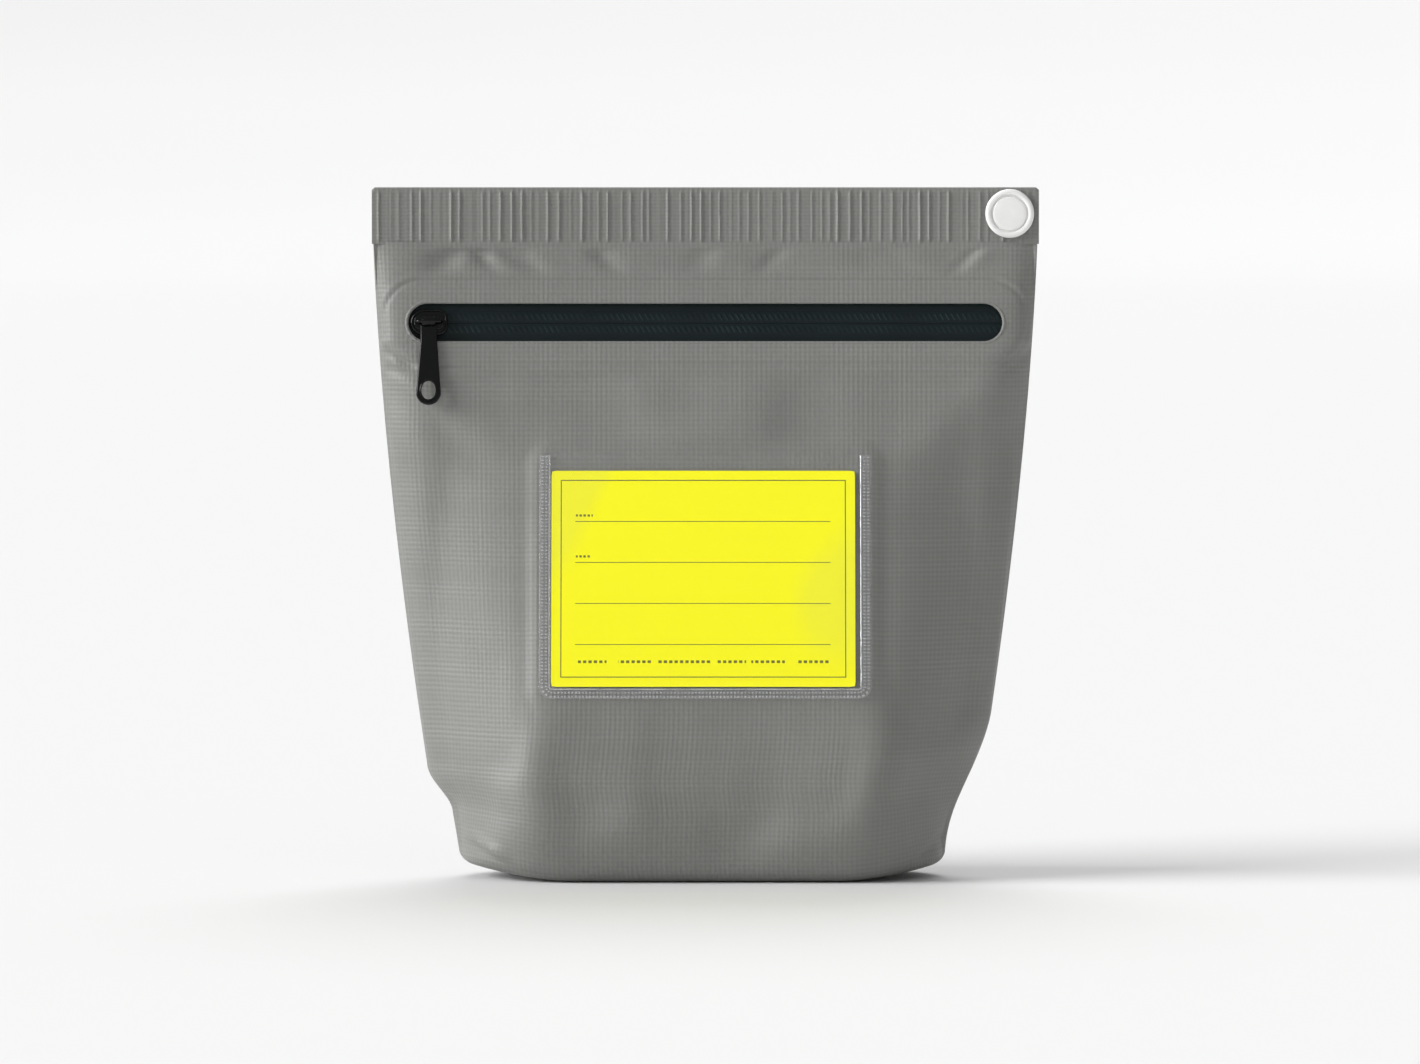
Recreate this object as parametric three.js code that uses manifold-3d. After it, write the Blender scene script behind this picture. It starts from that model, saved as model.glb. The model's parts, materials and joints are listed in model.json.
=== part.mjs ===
// A stand-up zip pouch in coated tarpaulin: a boxed foot that tapers to a flat welded top band,
// a long coil zip across the front, a clear card pocket, and a press-snap hang strap behind.
// Millimetres. +Z is up, the foot rests on Z = 0, the front faces -Y.
import * as THREE from 'three';
import { mergeVertices } from 'three/addons/utils/BufferGeometryUtils.js';
import Module from 'manifold-3d';

const wasm = await Module();
wasm.setup();

// ---------------------------------------------------------------- driving dimensions

// Whole pouch
const TOP_WIDTH = 200;
const HEIGHT = 207;
const FOOT_WIDTH = 147;
const FOOT_DEPTH = 52;
const BOX_WIDTH = 152; // across the pinched corners, just above the foot
const BOX_HEIGHT = 17;
const SHOULDER_WIDTH = 167.4; // where the pinched corners have run out
const SHOULDER_HEIGHT = 34;
const KNEE_DEPTH = 60; // where the flat front and back begin
const KNEE_HEIGHT = 45;
const FOOT_FLARE = 0.42; // outward slope of the walls at the foot
const SIDE_CURVE = 1.6; // how early the sides reach their full width
const END_REACH = 34; // length of the rounded ends at the knee
const END_REACH_TOP = 1.6; // the same at the band
const END_CURVE = 1.2; // how quickly the rounded ends shorten
const EDGE_RADIUS = 4; // round edge between foot and walls

// Sheets and clearances
const TARP = 1;
const LINING = 0.8;
const GAP = 0.3; // between pieces that touch
const BASE_RISE = 5; // height of the base panel's welded lip
const LINING_RISE = 7; // height of the inner tray's lip

// Top band
const BAND_HEIGHT = 17;
const BAND_THICK = 2.6;
const RIB_PITCH = 3;
const RIB_DEPTH = 0.35;

// Zip
const ZIP_BELOW_TOP = 40.4; // from the top edge down to the middle of the window
const WINDOW_LENGTH = 177.8;
const WINDOW_WIDTH = 11.5;
const SLOT_MARGIN = 3; // the lining's slot runs past the window by this much at each end
const SLOT_CORNER = 2;
const TAPE_LENGTH = 182;
const TAPE_WIDTH = 12.2; // one tape
const TAPE_THICK = 0.6;
const TAPE_CORNER = 12;
const TAPE_PARTING = 1.2; // between the two tapes' inner edges
const COIL_WIDTH = 2.3;
const COIL_THICK = 1.2;
const STOP_LENGTH = 2;
const STOP_SHOW = 0.2; // how far a stop reaches into the window
const STOP_PLAY = 0.5; // slider to stop, at either end of its travel

// Slider and puller
const SLIDER_LENGTH = 11;
const SLIDER_WIDTH = 7.8;
const SLIDER_PLATE = 1.2;
const SLIDER_BACK_PLATE = 1;
const FLANGE_THICK = 0.7;
const PLATE_CORNER = 2;
const POST_SETBACK = 1; // from the slider's nose to its post
const POST_LENGTH = 2.5;
const WELD = 0.2; // how deep joined solids run into each other
const POST_THICK = 0.6;
const CROWN_LENGTH = 7.4;
const CROWN_BAR = 0.8;
const EYE_INNER_RADIUS = 0.9;
const EYE_WALL = 0.6;
const EYE_WIDTH = 4;
const EYE_CLEAR = 0.4; // eye to slider plate
const PULLER_LENGTH = 25.3;
const PULLER_WIDTH = 7.4;
const PULLER_NECK = 5.2;
const PULLER_THICK = 1.2;
const PULLER_HOLE_LENGTH = 6;
const PULLER_HOLE_WIDTH = 3.8;
const PULLER_HOLE_UP = 4.4; // from the puller's lower end to the hole's middle

// Card pocket and card
const POCKET_WIDTH = 98.7;
const POCKET_LENGTH = 73.7;
const POCKET_BOTTOM = 55; // height of its lower edge above the foot
const POCKET_SHEET = 0.5;
const POCKET_WELD = 3.3; // width of the welded border
const POCKET_WELD_THICK = 0.7;
const POCKET_SHOULDER = 0.9; // how far the raised part oversails the hollow
const POCKET_HOLLOW = 1.1;
const POCKET_CORNER = 3;
const CARD_WIDTH = 90.5;
const CARD_LENGTH = 65;
const CARD_THICK = 0.4;
const CARD_OFFSET = -0.6; // the card sits a little to the left
const CARD_CORNER = 1.5;

// Press snap and hang strap
const SNAP_FROM_EDGE = 8.8; // from the band's end to the snap's middle
const SNAP_RAISE = 0.6; // above the band's middle
const SNAP_CAP_RADIUS = 7.35;
const SNAP_CAP_THICK = 1.5;
const SNAP_STEP_RADIUS = 5.3;
const SNAP_POST_RADIUS = 1.5;
const STUD_RADIUS = 5.5;
const STUD_THICK = 1;
const STUD_BOSS_RADIUS = 2.7;
const STUD_BOSS_HEIGHT = 1.8;
const SOCKET_THICK = 2.1;
const SOCKET_WEB = 0.3;
const SOCKET_PLAY = 0.4; // boss to socket, all round
const STRAP_CAP_RADIUS = 6.2;
const STRAP_CAP_THICK = 1.4;
const STRAP_WIDTH = 12;
const STRAP_THICK = 1.5;
const STRAP_STANDOFF = 0.4; // its lower end to the back panel
const STRAP_LENGTH = 57; // from its lower end up to the band's top edge
const STRAP_BOW = 5; // how far its middle stands off

// Facets
const ARC_STEPS = 7; // along each quarter of a rounded end
const ROUND_STEPS = 28; // around a snap piece
const STRAP_STEPS = 18; // along the strap
const CORNER_STEPS = 5; // around a plate's corner

// ---------------------------------------------------------------- outline of the pouch

const bandBottom = HEIGHT - BAND_HEIGHT;
const zipHeight = HEIGHT - ZIP_BELOW_TOP;
const kneeHalf = KNEE_DEPTH / 2;
const bandHalf = BAND_THICK / 2;
const frontSlope = (kneeHalf - bandHalf) / (bandBottom - KNEE_HEIGHT);
const frontTilt = Math.atan(frontSlope);

function halfWidth(z) {
  if (z <= BOX_HEIGHT) {
    return THREE.MathUtils.lerp(FOOT_WIDTH, BOX_WIDTH, z / BOX_HEIGHT) / 2;
  }
  if (z <= SHOULDER_HEIGHT) {
    const rise = THREE.MathUtils.smoothstep(z, BOX_HEIGHT, SHOULDER_HEIGHT);
    return THREE.MathUtils.lerp(BOX_WIDTH, SHOULDER_WIDTH, rise) / 2;
  }
  const below = (HEIGHT - z) / (HEIGHT - SHOULDER_HEIGHT);
  return (TOP_WIDTH - (TOP_WIDTH - SHOULDER_WIDTH) * below ** SIDE_CURVE) / 2;
}

// Flat above the knee. Below it one cubic runs from the foot's flare into that slope.
function halfDepth(z) {
  if (z >= KNEE_HEIGHT) return bandHalf + (bandBottom - z) * frontSlope;
  const t = z / KNEE_HEIGHT;
  const start = FOOT_DEPTH / 2;
  const leave = FOOT_FLARE * KNEE_HEIGHT;
  const arrive = -frontSlope * KNEE_HEIGHT;
  const bend = 3 * (kneeHalf - start) - 2 * leave - arrive;
  const twist = 2 * (start - kneeHalf) + leave + arrive;
  return start + t * (leave + t * (bend + t * twist));
}

function endReach(z) {
  const share = (halfDepth(z) / kneeHalf) ** END_CURVE;
  return END_REACH_TOP + (END_REACH - END_REACH_TOP) * share;
}

// Half of the outline at one height, from its right end round to its left end.
// side is -1 for the front half and 1 for the back half; seam is the gap left at Y = 0.
function halfOutline(z, inset, side, seam) {
  const reach = endReach(z);
  const middle = halfWidth(z) - reach;
  const depth = halfDepth(z) - inset - seam;
  const points = [];
  for (const end of [1, -1]) {
    for (let i = 0; i <= ARC_STEPS; i++) {
      const step = end > 0 ? i : ARC_STEPS - i;
      const angle = (step / ARC_STEPS) * (Math.PI / 2);
      const x = end * (middle + (reach - inset) * Math.cos(angle));
      points.push(new THREE.Vector2(x, side * (seam + depth * Math.sin(angle))));
    }
  }
  return points;
}

// The whole outline at one height.
function outline(z, inset) {
  const front = halfOutline(z, inset, -1, 0);
  const back = halfOutline(z, inset, 1, 0);
  return [...front, ...back.reverse().slice(1, -1)];
}

// ---------------------------------------------------------------- solids

// A closed solid through a stack of level rings, each { z, points }.
function loft(rings) {
  const count = rings[0].points.length;
  const flat = rings[0].points;
  const turned = THREE.ShapeUtils.area(flat) < 0;
  const positions = [];
  for (const ring of rings) {
    const points = turned ? [...ring.points].reverse() : ring.points;
    for (const point of points) positions.push(point.x, point.y, ring.z);
  }
  const faces = [];
  for (let level = 0; level < rings.length - 1; level++) {
    for (let i = 0; i < count; i++) {
      const a = level * count + i;
      const b = level * count + ((i + 1) % count);
      faces.push(a, b, b + count, a, b + count, a + count);
    }
  }
  const capOf = (ring) => {
    const points = turned ? [...ring.points].reverse() : [...ring.points];
    return THREE.ShapeUtils.triangulateShape(points, []);
  };
  for (const [a, b, c] of capOf(rings[0])) faces.push(c, b, a);
  const top = (rings.length - 1) * count;
  for (const [a, b, c] of capOf(rings.at(-1))) faces.push(top + a, top + b, top + c);
  const geometry = new THREE.BufferGeometry();
  geometry.setAttribute('position', new THREE.Float32BufferAttribute(positions, 3));
  geometry.setIndex(faces);
  return geometry;
}

function solidOf(geometry) {
  const bare = geometry.clone();
  bare.deleteAttribute('normal');
  bare.deleteAttribute('uv');
  const merged = mergeVertices(bare, 1e-4);
  return new wasm.Manifold(new wasm.Mesh({
    numProp: 3,
    vertProperties: merged.attributes.position.array,
    triVerts: new Uint32Array(merged.index.array),
  }));
}

function geometryOf(solid) {
  const mesh = solid.getMesh();
  const geometry = new THREE.BufferGeometry();
  geometry.setAttribute('position', new THREE.BufferAttribute(mesh.vertProperties, 3));
  geometry.setIndex(new THREE.BufferAttribute(mesh.triVerts, 1));
  const faceted = geometry.toNonIndexed();
  faceted.computeVertexNormals();
  return faceted;
}

function cut(geometry, ...tools) {
  const left = tools.reduce((solid, tool) => solid.subtract(solidOf(tool)), solidOf(geometry));
  return geometryOf(left);
}

function join(geometry, ...others) {
  const all = others.reduce((solid, other) => solid.add(solidOf(other)), solidOf(geometry));
  return geometryOf(all);
}

function roundedRect(width, height, radius, centreX = 0, centreY = 0) {
  const r = Math.min(radius, width / 2 - 1e-3, height / 2 - 1e-3);
  const x = width / 2 - r;
  const y = height / 2 - r;
  const shape = new THREE.Shape();
  shape.absarc(centreX + x, centreY - y, r, -Math.PI / 2, 0);
  shape.absarc(centreX + x, centreY + y, r, 0, Math.PI / 2);
  shape.absarc(centreX - x, centreY + y, r, Math.PI / 2, Math.PI);
  shape.absarc(centreX - x, centreY - y, r, Math.PI, 1.5 * Math.PI);
  shape.closePath();
  return shape;
}

// A plate whose outline is drawn in X and Z, between two distances out to the front (-Y).
function frontPlate(shape, from, to) {
  const options = { depth: to - from, bevelEnabled: false, curveSegments: CORNER_STEPS };
  return new THREE.ExtrudeGeometry(shape, options).translate(0, 0, from).rotateX(Math.PI / 2);
}

function block(x, y, z) {
  const [size, centre] = [x, y, z].reduce(
    ([sizes, centres], [low, high]) => [[...sizes, high - low], [...centres, (low + high) / 2]],
    [[], []],
  );
  return new THREE.BoxGeometry(...size).translate(...centre);
}

// A turned piece about the Y axis, from its half section as [radius, y] corners.
function turnedPiece(corners) {
  const profile = corners.map(([radius, y]) => new THREE.Vector2(radius, y));
  return new THREE.LatheGeometry(profile, ROUND_STEPS);
}

// ---------------------------------------------------------------- materials and nodes

const finishes = {
  tarp: { color: 0x8a8a85, roughness: 0.55, metalness: 0 },
  lining: { color: 0xc9c6b8, roughness: 0.9, metalness: 0 },
  tape: { color: 0x161f22, roughness: 0.6, metalness: 0 },
  coil: { color: 0x101416, roughness: 0.45, metalness: 0 },
  stop: { color: 0x2a2c2d, roughness: 0.35, metalness: 1 },
  slider: { color: 0x0d0f10, roughness: 0.25, metalness: 0.6 },
  vinyl: { color: 0xe6e9ea, roughness: 0.12, metalness: 0, transparent: true, opacity: 0.35 },
  card: { color: 0xfff500, roughness: 0.7, metalness: 0 },
  snap: { color: 0xf0f0ee, roughness: 0.2, metalness: 0 },
};

function node(name, geometry, finish) {
  const mesh = new THREE.Mesh(geometry, new THREE.MeshStandardMaterial(finishes[finish]));
  mesh.name = name;
  return mesh;
}

// ---------------------------------------------------------------- shell and lining

const tapeInset = TARP + GAP;
const liningInset = tapeInset + TAPE_THICK + GAP;
const panelTop = bandBottom - GAP;
// The lining stops where its two faces would meet.
const liningTop = bandBottom - (liningInset + LINING + 2 * GAP - bandHalf) / frontSlope;
const wallHeights = [
  (BASE_RISE + BOX_HEIGHT) / 2,
  BOX_HEIGHT,
  ...[0.33, 0.67].map((share) => THREE.MathUtils.lerp(BOX_HEIGHT, SHOULDER_HEIGHT, share)),
  SHOULDER_HEIGHT,
  KNEE_HEIGHT,
  ...[0.15, 0.3, 0.5, 0.75].map((share) => THREE.MathUtils.lerp(KNEE_HEIGHT, bandBottom, share)),
];

// One half of a wall: a sheet of the given thickness, at an inset from the outer outline.
function wall(side, inset, thick, low, high) {
  const heights = [low, ...wallHeights.filter((z) => z > low + 1 && z < high - 1), high];
  return loft(heights.map((z) => {
    const outer = halfOutline(z, inset, side, GAP / 2);
    const inner = halfOutline(z, inset + thick, side, GAP / 2);
    return { z, points: [...outer, ...inner.reverse()] };
  }));
}

// A tray with a round lower edge.
function tray(inset, floor, radius, thick, rise) {
  const rings = (gap, edge, top) => {
    const levels = [0, 1, 2, 3].map((step) => {
      const angle = (step / 3) * (Math.PI / 2);
      const z = floor + gap + edge * (1 - Math.cos(angle));
      return { z, points: outline(z, inset + gap + edge * (1 - Math.sin(angle))) };
    });
    return [...levels, { z: top, points: outline(top, inset + gap) }];
  };
  return cut(loft(rings(0, radius, rise)), loft(rings(thick, radius - thick, rise + 1)));
}

// Everything on the flat front shares this tilted frame: X across, Z up the slope,
// -Y out of the pouch, with its origin on the outer face at the middle of the zip window.
const frontFrame = new THREE.Group();
frontFrame.position.set(0, -halfDepth(zipHeight), zipHeight);
frontFrame.rotation.x = -frontTilt;
frontFrame.updateMatrix();

const upSlope = (z) => (z - zipHeight) / Math.cos(frontTilt);

function inFront(geometry) {
  return geometry.applyMatrix4(frontFrame.matrix);
}

const CUT_REACH = 4; // cutters run this far past the sheets
const windowShape = roundedRect(WINDOW_LENGTH, WINDOW_WIDTH, WINDOW_WIDTH / 2);
const windowCutter = inFront(frontPlate(windowShape, -CUT_REACH, CUT_REACH));
const liningSlotShape = roundedRect(
  WINDOW_LENGTH + 2 * SLOT_MARGIN, WINDOW_WIDTH, SLOT_CORNER);
const liningSlot = inFront(frontPlate(liningSlotShape, -CUT_REACH, CUT_REACH));

function shellNodes() {
  const wallLow = BASE_RISE + GAP;
  const liningLow = LINING_RISE + GAP;
  const front = wall(-1, 0, TARP, wallLow, panelTop);
  const liningFront = wall(-1, liningInset, LINING, liningLow, liningTop);
  return [
    node('front_panel', cut(front, windowCutter), 'tarp'),
    node('back_panel', geometryOf(solidOf(wall(1, 0, TARP, wallLow, panelTop))), 'tarp'),
    node('base_panel', tray(0, 0, EDGE_RADIUS, TARP, BASE_RISE), 'tarp'),
    node('lining_front', cut(liningFront, liningSlot), 'lining'),
    node('lining_back', geometryOf(solidOf(wall(1, liningInset, LINING, liningLow, liningTop))),
      'lining'),
    node('lining_base', tray(liningInset, TARP + GAP, EDGE_RADIUS - TARP, LINING, LINING_RISE),
      'lining'),
  ];
}

// ---------------------------------------------------------------- top band

const snapX = TOP_WIDTH / 2 - SNAP_FROM_EDGE;
const snapZ = bandBottom + BAND_HEIGHT / 2 + SNAP_RAISE;
const postHoleRadius = SNAP_POST_RADIUS + GAP;

// A cylinder along Y at the snap's place, for a hole through a sheet.
function snapHole(radius, low, high) {
  const hole = new THREE.CylinderGeometry(radius, radius, high - low, ROUND_STEPS);
  return hole.translate(snapX, (low + high) / 2, snapZ);
}

// Ribs run up both faces of the band, crest to crest at RIB_PITCH.
function topBand() {
  const count = Math.floor(TOP_WIDTH / RIB_PITCH);
  const first = (-count * RIB_PITCH) / 2;
  const shape = new THREE.Shape();
  shape.moveTo(-TOP_WIDTH / 2, -bandHalf + RIB_DEPTH);
  for (let i = 0; i < count; i++) {
    const x = first + i * RIB_PITCH;
    shape.lineTo(x + RIB_PITCH * 0.5, -bandHalf);
    if (i < count - 1) shape.lineTo(x + RIB_PITCH, -bandHalf + RIB_DEPTH);
  }
  shape.lineTo(TOP_WIDTH / 2, -bandHalf + RIB_DEPTH);
  shape.lineTo(TOP_WIDTH / 2, bandHalf);
  shape.lineTo(-TOP_WIDTH / 2, bandHalf);
  shape.closePath();
  const options = { depth: BAND_HEIGHT, bevelEnabled: false };
  const band = new THREE.ExtrudeGeometry(shape, options).translate(0, 0, bandBottom);
  return node('top_band', cut(band, snapHole(postHoleRadius, -BAND_THICK, BAND_THICK)), 'tarp');
}

// ---------------------------------------------------------------- zip

const tapeFront = -tapeInset;
const tapeBack = tapeFront - TAPE_THICK;
const coilFront = tapeBack - GAP;
const coilBack = coilFront - COIL_THICK;
const tapeEdge = TAPE_PARTING / 2;
const coilEdge = tapeEdge + COIL_WIDTH;
const stopInner = WINDOW_LENGTH / 2 - STOP_SHOW;
const stopOuter = stopInner + STOP_LENGTH;
const sliderStart = -(stopInner - STOP_PLAY - SLIDER_LENGTH / 2);

function zipNodes() {
  const zipParts = [];
  for (const [name, up] of [['upper', 1], ['lower', -1]]) {
    const whole = frontPlate(
      roundedRect(TAPE_LENGTH, TAPE_PARTING + 2 * TAPE_WIDTH, TAPE_CORNER), tapeBack, tapeFront);
    const far = TAPE_PARTING + TAPE_WIDTH;
    const other = [Math.min(up * tapeEdge, -up * far), Math.max(up * tapeEdge, -up * far)];
    const away = block([-TAPE_LENGTH, TAPE_LENGTH], [-CUT_REACH, CUT_REACH], other);
    zipParts.push(node(`zip_tape_${name}`, cut(whole, away), 'tape'));

    const band = [up * tapeEdge, up * coilEdge].sort((a, b) => a - b);
    const coilEnd = stopInner - GAP;
    const coil = block([-coilEnd, coilEnd], [-coilFront, -coilBack], band);
    zipParts.push(node(`zip_coil_${name}`, coil, 'coil'));

    const stop = block([-stopOuter, -stopInner], [-coilFront, -coilBack], band);
    zipParts.push(node(`zip_top_stop_${name}`, stop, 'stop'));
  }
  const bottomStop = block([stopInner, stopOuter], [-coilFront, -coilBack], [-coilEdge, coilEdge]);
  zipParts.push(node('zip_bottom_stop', bottomStop, 'stop'));
  return zipParts;
}

// ---------------------------------------------------------------- slider and puller

const plateBack = tapeFront + GAP;
const plateFront = plateBack + SLIDER_PLATE;
const backPlateFront = coilBack - GAP;
const backPlateBack = backPlateFront - SLIDER_BACK_PLATE;
const eyeOuterRadius = EYE_INNER_RADIUS + EYE_WALL;
const barOut = plateFront + EYE_CLEAR + eyeOuterRadius;

function sliderBody() {
  const half = SLIDER_LENGTH / 2;
  const plate = roundedRect(SLIDER_LENGTH, SLIDER_WIDTH, PLATE_CORNER);
  const backPlate = roundedRect(SLIDER_LENGTH, SLIDER_WIDTH, PLATE_CORNER / 2);
  const post = [-half + POST_SETBACK, -half + POST_SETBACK + POST_LENGTH];
  const flangeOuter = SLIDER_WIDTH / 2;
  const flanges = [1, -1].map((up) => block(
    [-half, half],
    [-coilFront, -(backPlateFront - WELD)],
    [up * flangeOuter, up * (flangeOuter - FLANGE_THICK)].sort((a, b) => a - b),
  ));
  return join(
    frontPlate(plate, plateBack, plateFront),
    block(post, [-plateBack - WELD, -backPlateFront + WELD], [-POST_THICK / 2, POST_THICK / 2]),
    frontPlate(backPlate, backPlateBack, backPlateFront),
    ...flanges,
  );
}

// An arch over the puller's eye: two legs and a bar.
function sliderCrown() {
  const half = CROWN_LENGTH / 2;
  const foot = plateFront + GAP;
  const top = barOut + CROWN_BAR / 2;
  const across = [-CROWN_BAR / 2, CROWN_BAR / 2];
  const arch = block([-half, half], [-top, -foot], across);
  const gap = block([-half + CROWN_BAR, half - CROWN_BAR], [-(top - CROWN_BAR), -foot + 1], [-1, 1]);
  return cut(arch, gap);
}

// A flat tongue that hangs from a rolled eye round the crown's bar.
function sliderPuller() {
  const ring = new THREE.Shape().absarc(0, 0, eyeOuterRadius, 0, 2 * Math.PI);
  ring.holes.push(new THREE.Path().absarc(0, 0, EYE_INNER_RADIUS, 0, 2 * Math.PI, true));
  const eye = new THREE.ExtrudeGeometry(ring, {
    depth: EYE_WIDTH, bevelEnabled: false, curveSegments: 16,
  }).translate(0, 0, -EYE_WIDTH / 2).rotateY(Math.PI / 2).translate(0, -barOut, 0);

  const top = -EYE_INNER_RADIUS - WELD / 2;
  const radius = PULLER_WIDTH / 2;
  const bottom = -PULLER_LENGTH + radius;
  const tongue = new THREE.Shape();
  tongue.moveTo(PULLER_NECK / 2, top);
  tongue.lineTo(-PULLER_NECK / 2, top);
  tongue.absarc(0, bottom, radius, Math.PI, 2 * Math.PI);
  tongue.closePath();
  const hole = roundedRect(PULLER_HOLE_WIDTH, PULLER_HOLE_LENGTH, PULLER_HOLE_WIDTH / 2,
    0, -PULLER_LENGTH + PULLER_HOLE_UP);
  tongue.holes.push(hole);
  const back = barOut - eyeOuterRadius;
  return join(frontPlate(tongue, back, back + PULLER_THICK), eye);
}

function sliderGroup() {
  const group = new THREE.Group();
  group.position.x = sliderStart;
  group.add(
    node('slider_body', sliderBody(), 'slider'),
    node('slider_crown', sliderCrown(), 'slider'),
    node('slider_puller', sliderPuller(), 'slider'),
  );
  return group;
}

// ---------------------------------------------------------------- card pocket and card

const pocketFoot = upSlope(POCKET_BOTTOM);
const pocketMiddle = pocketFoot + POCKET_LENGTH / 2;
const hollowTop = GAP + POCKET_HOLLOW;

function cardPocket() {
  const border = roundedRect(POCKET_WIDTH, POCKET_LENGTH, POCKET_CORNER, 0, pocketMiddle);
  const raise = POCKET_WELD - POCKET_SHOULDER;
  const raised = roundedRect(POCKET_WIDTH - 2 * raise, POCKET_LENGTH - raise, POCKET_CORNER,
    0, pocketMiddle + raise / 2);
  const hollowLength = POCKET_LENGTH + CUT_REACH - POCKET_WELD;
  const hollow = roundedRect(POCKET_WIDTH - 2 * POCKET_WELD, hollowLength, 1,
    0, pocketFoot + POCKET_WELD + hollowLength / 2);
  return cut(
    join(frontPlate(border, GAP, GAP + POCKET_WELD_THICK),
      frontPlate(raised, GAP, hollowTop + POCKET_SHEET)),
    frontPlate(hollow, 0, hollowTop),
  );
}

function indexCard() {
  const foot = pocketFoot + POCKET_WELD + GAP;
  const shape = roundedRect(CARD_WIDTH, CARD_LENGTH, CARD_CORNER,
    CARD_OFFSET, foot + CARD_LENGTH / 2);
  const back = 2 * GAP;
  return frontPlate(shape, back, back + CARD_THICK);
}

// ---------------------------------------------------------------- press snap and hang strap

const studFoot = bandHalf + GAP;
const bossFoot = studFoot + STUD_THICK;
const bossTop = bossFoot + STUD_BOSS_HEIGHT;
const socketFoot = bossFoot + GAP;
const socketTop = socketFoot + SOCKET_THICK;
const strapInner = socketTop + GAP;
const strapOuter = strapInner + STRAP_THICK;
const strapCapFoot = strapOuter + GAP;

// The front cap: a shallow dome with a step, and the post that goes through the band.
function snapCap() {
  const face = -bandHalf - GAP;
  return turnedPiece([
    [0, face - SNAP_CAP_THICK],
    [SNAP_STEP_RADIUS, face - SNAP_CAP_THICK],
    [SNAP_STEP_RADIUS + 0.3, face - SNAP_CAP_THICK + 0.3],
    [SNAP_CAP_RADIUS - 0.5, face - SNAP_CAP_THICK + 0.3],
    [SNAP_CAP_RADIUS, face - SNAP_CAP_THICK / 2],
    [SNAP_CAP_RADIUS - 0.3, face],
    [SNAP_POST_RADIUS, face],
    [SNAP_POST_RADIUS, bossFoot - 0.2],
    [0, bossFoot - 0.2],
  ]);
}

function snapStud() {
  return turnedPiece([
    [postHoleRadius, studFoot],
    [STUD_RADIUS, studFoot],
    [STUD_RADIUS, bossFoot],
    [STUD_BOSS_RADIUS, bossFoot],
    [STUD_BOSS_RADIUS, bossTop],
    [0, bossTop],
    [0, bossFoot + GAP],
    [postHoleRadius, bossFoot + GAP],
    [postHoleRadius, studFoot],
  ]);
}

function snapSocket() {
  const bore = STUD_BOSS_RADIUS + SOCKET_PLAY;
  return turnedPiece([
    [bore, socketFoot],
    [STUD_RADIUS, socketFoot],
    [STUD_RADIUS, socketTop],
    [postHoleRadius, socketTop],
    [postHoleRadius, socketTop - SOCKET_WEB],
    [bore, socketTop - SOCKET_WEB],
    [bore, socketFoot],
  ]);
}

function strapCap() {
  const end = socketTop - SOCKET_WEB + 0.1;
  return turnedPiece([
    [0, end],
    [SNAP_POST_RADIUS, end],
    [SNAP_POST_RADIUS, strapCapFoot],
    [STRAP_CAP_RADIUS, strapCapFoot],
    [STRAP_CAP_RADIUS, strapCapFoot + STRAP_CAP_THICK * 0.6],
    [STRAP_CAP_RADIUS - 0.8, strapCapFoot + STRAP_CAP_THICK],
    [0, strapCapFoot + STRAP_CAP_THICK],
  ]);
}

// The strap rises from the back panel, bows out and runs flat up the back of the band.
// Its lower end is the line that it swings about.
const strapFoot = HEIGHT - STRAP_LENGTH;
const strapMiddle = (strapInner + strapOuter) / 2;
const strapFootOut = halfDepth(strapFoot) + STRAP_STANDOFF + STRAP_THICK / 2;

function hangStrap() {
  const halfThick = STRAP_THICK / 2;
  const rise = bandBottom - strapFoot;
  const curve = new THREE.CurvePath();
  curve.add(new THREE.CubicBezierCurve(
    new THREE.Vector2(strapFootOut, strapFoot),
    new THREE.Vector2(strapFootOut + 2 * STRAP_BOW, strapFoot + rise / 3),
    new THREE.Vector2(strapMiddle, bandBottom - rise / 3),
    new THREE.Vector2(strapMiddle, bandBottom),
  ));
  curve.add(new THREE.LineCurve(curve.curves[0].v3, new THREE.Vector2(strapMiddle, HEIGHT)));
  const faces = [[], []];
  for (let i = 0; i <= STRAP_STEPS; i++) {
    const point = curve.getPoint(i / STRAP_STEPS);
    const along = curve.getTangent(i / STRAP_STEPS);
    const out = new THREE.Vector2(along.y, -along.x).multiplyScalar(halfThick);
    faces[0].push(point.clone().add(out));
    faces[1].push(point.clone().sub(out));
  }
  const shape = new THREE.Shape([...faces[0], ...faces[1].reverse()]);
  const options = { depth: STRAP_WIDTH, bevelEnabled: false };
  // The outline's X and Y become the pouch's Y and Z, and the width runs along X.
  const strap = new THREE.ExtrudeGeometry(shape, options)
    .translate(0, 0, -STRAP_WIDTH / 2)
    .rotateY(Math.PI / 2)
    .rotateX(Math.PI / 2);
  strap.translate(snapX, 0, 0);
  return strap;
}

function strapNodes() {
  const parts = [
    node('snap_cap', snapCap(), 'snap'),
    node('snap_stud', snapStud(), 'snap'),
    node('snap_socket', snapSocket(), 'snap'),
    node('strap_cap', strapCap(), 'snap'),
  ];
  for (const part of parts) part.position.set(snapX, 0, snapZ);
  const hole = snapHole(postHoleRadius, strapInner - 1, strapOuter + 1);
  return [...parts, node('hang_strap', cut(hangStrap(), hole), 'tarp')];
}

// ---------------------------------------------------------------- assembly

const pouch = new THREE.Group();
pouch.name = 'zip_pouch';
frontFrame.add(
  ...zipNodes(),
  sliderGroup(),
  node('card_pocket', cardPocket(), 'vinyl'),
  node('index_card', indexCard(), 'card'),
);
pouch.add(...shellNodes(), topBand(), frontFrame, ...strapNodes());

export default pouch;
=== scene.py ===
"""A stand-up zip pouch in coated tarpaulin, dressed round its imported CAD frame.

Lengths are in metres, in the frame of the CAD model: +Z up, the front faces -Y, the foot on Z = 0.
"""

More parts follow.
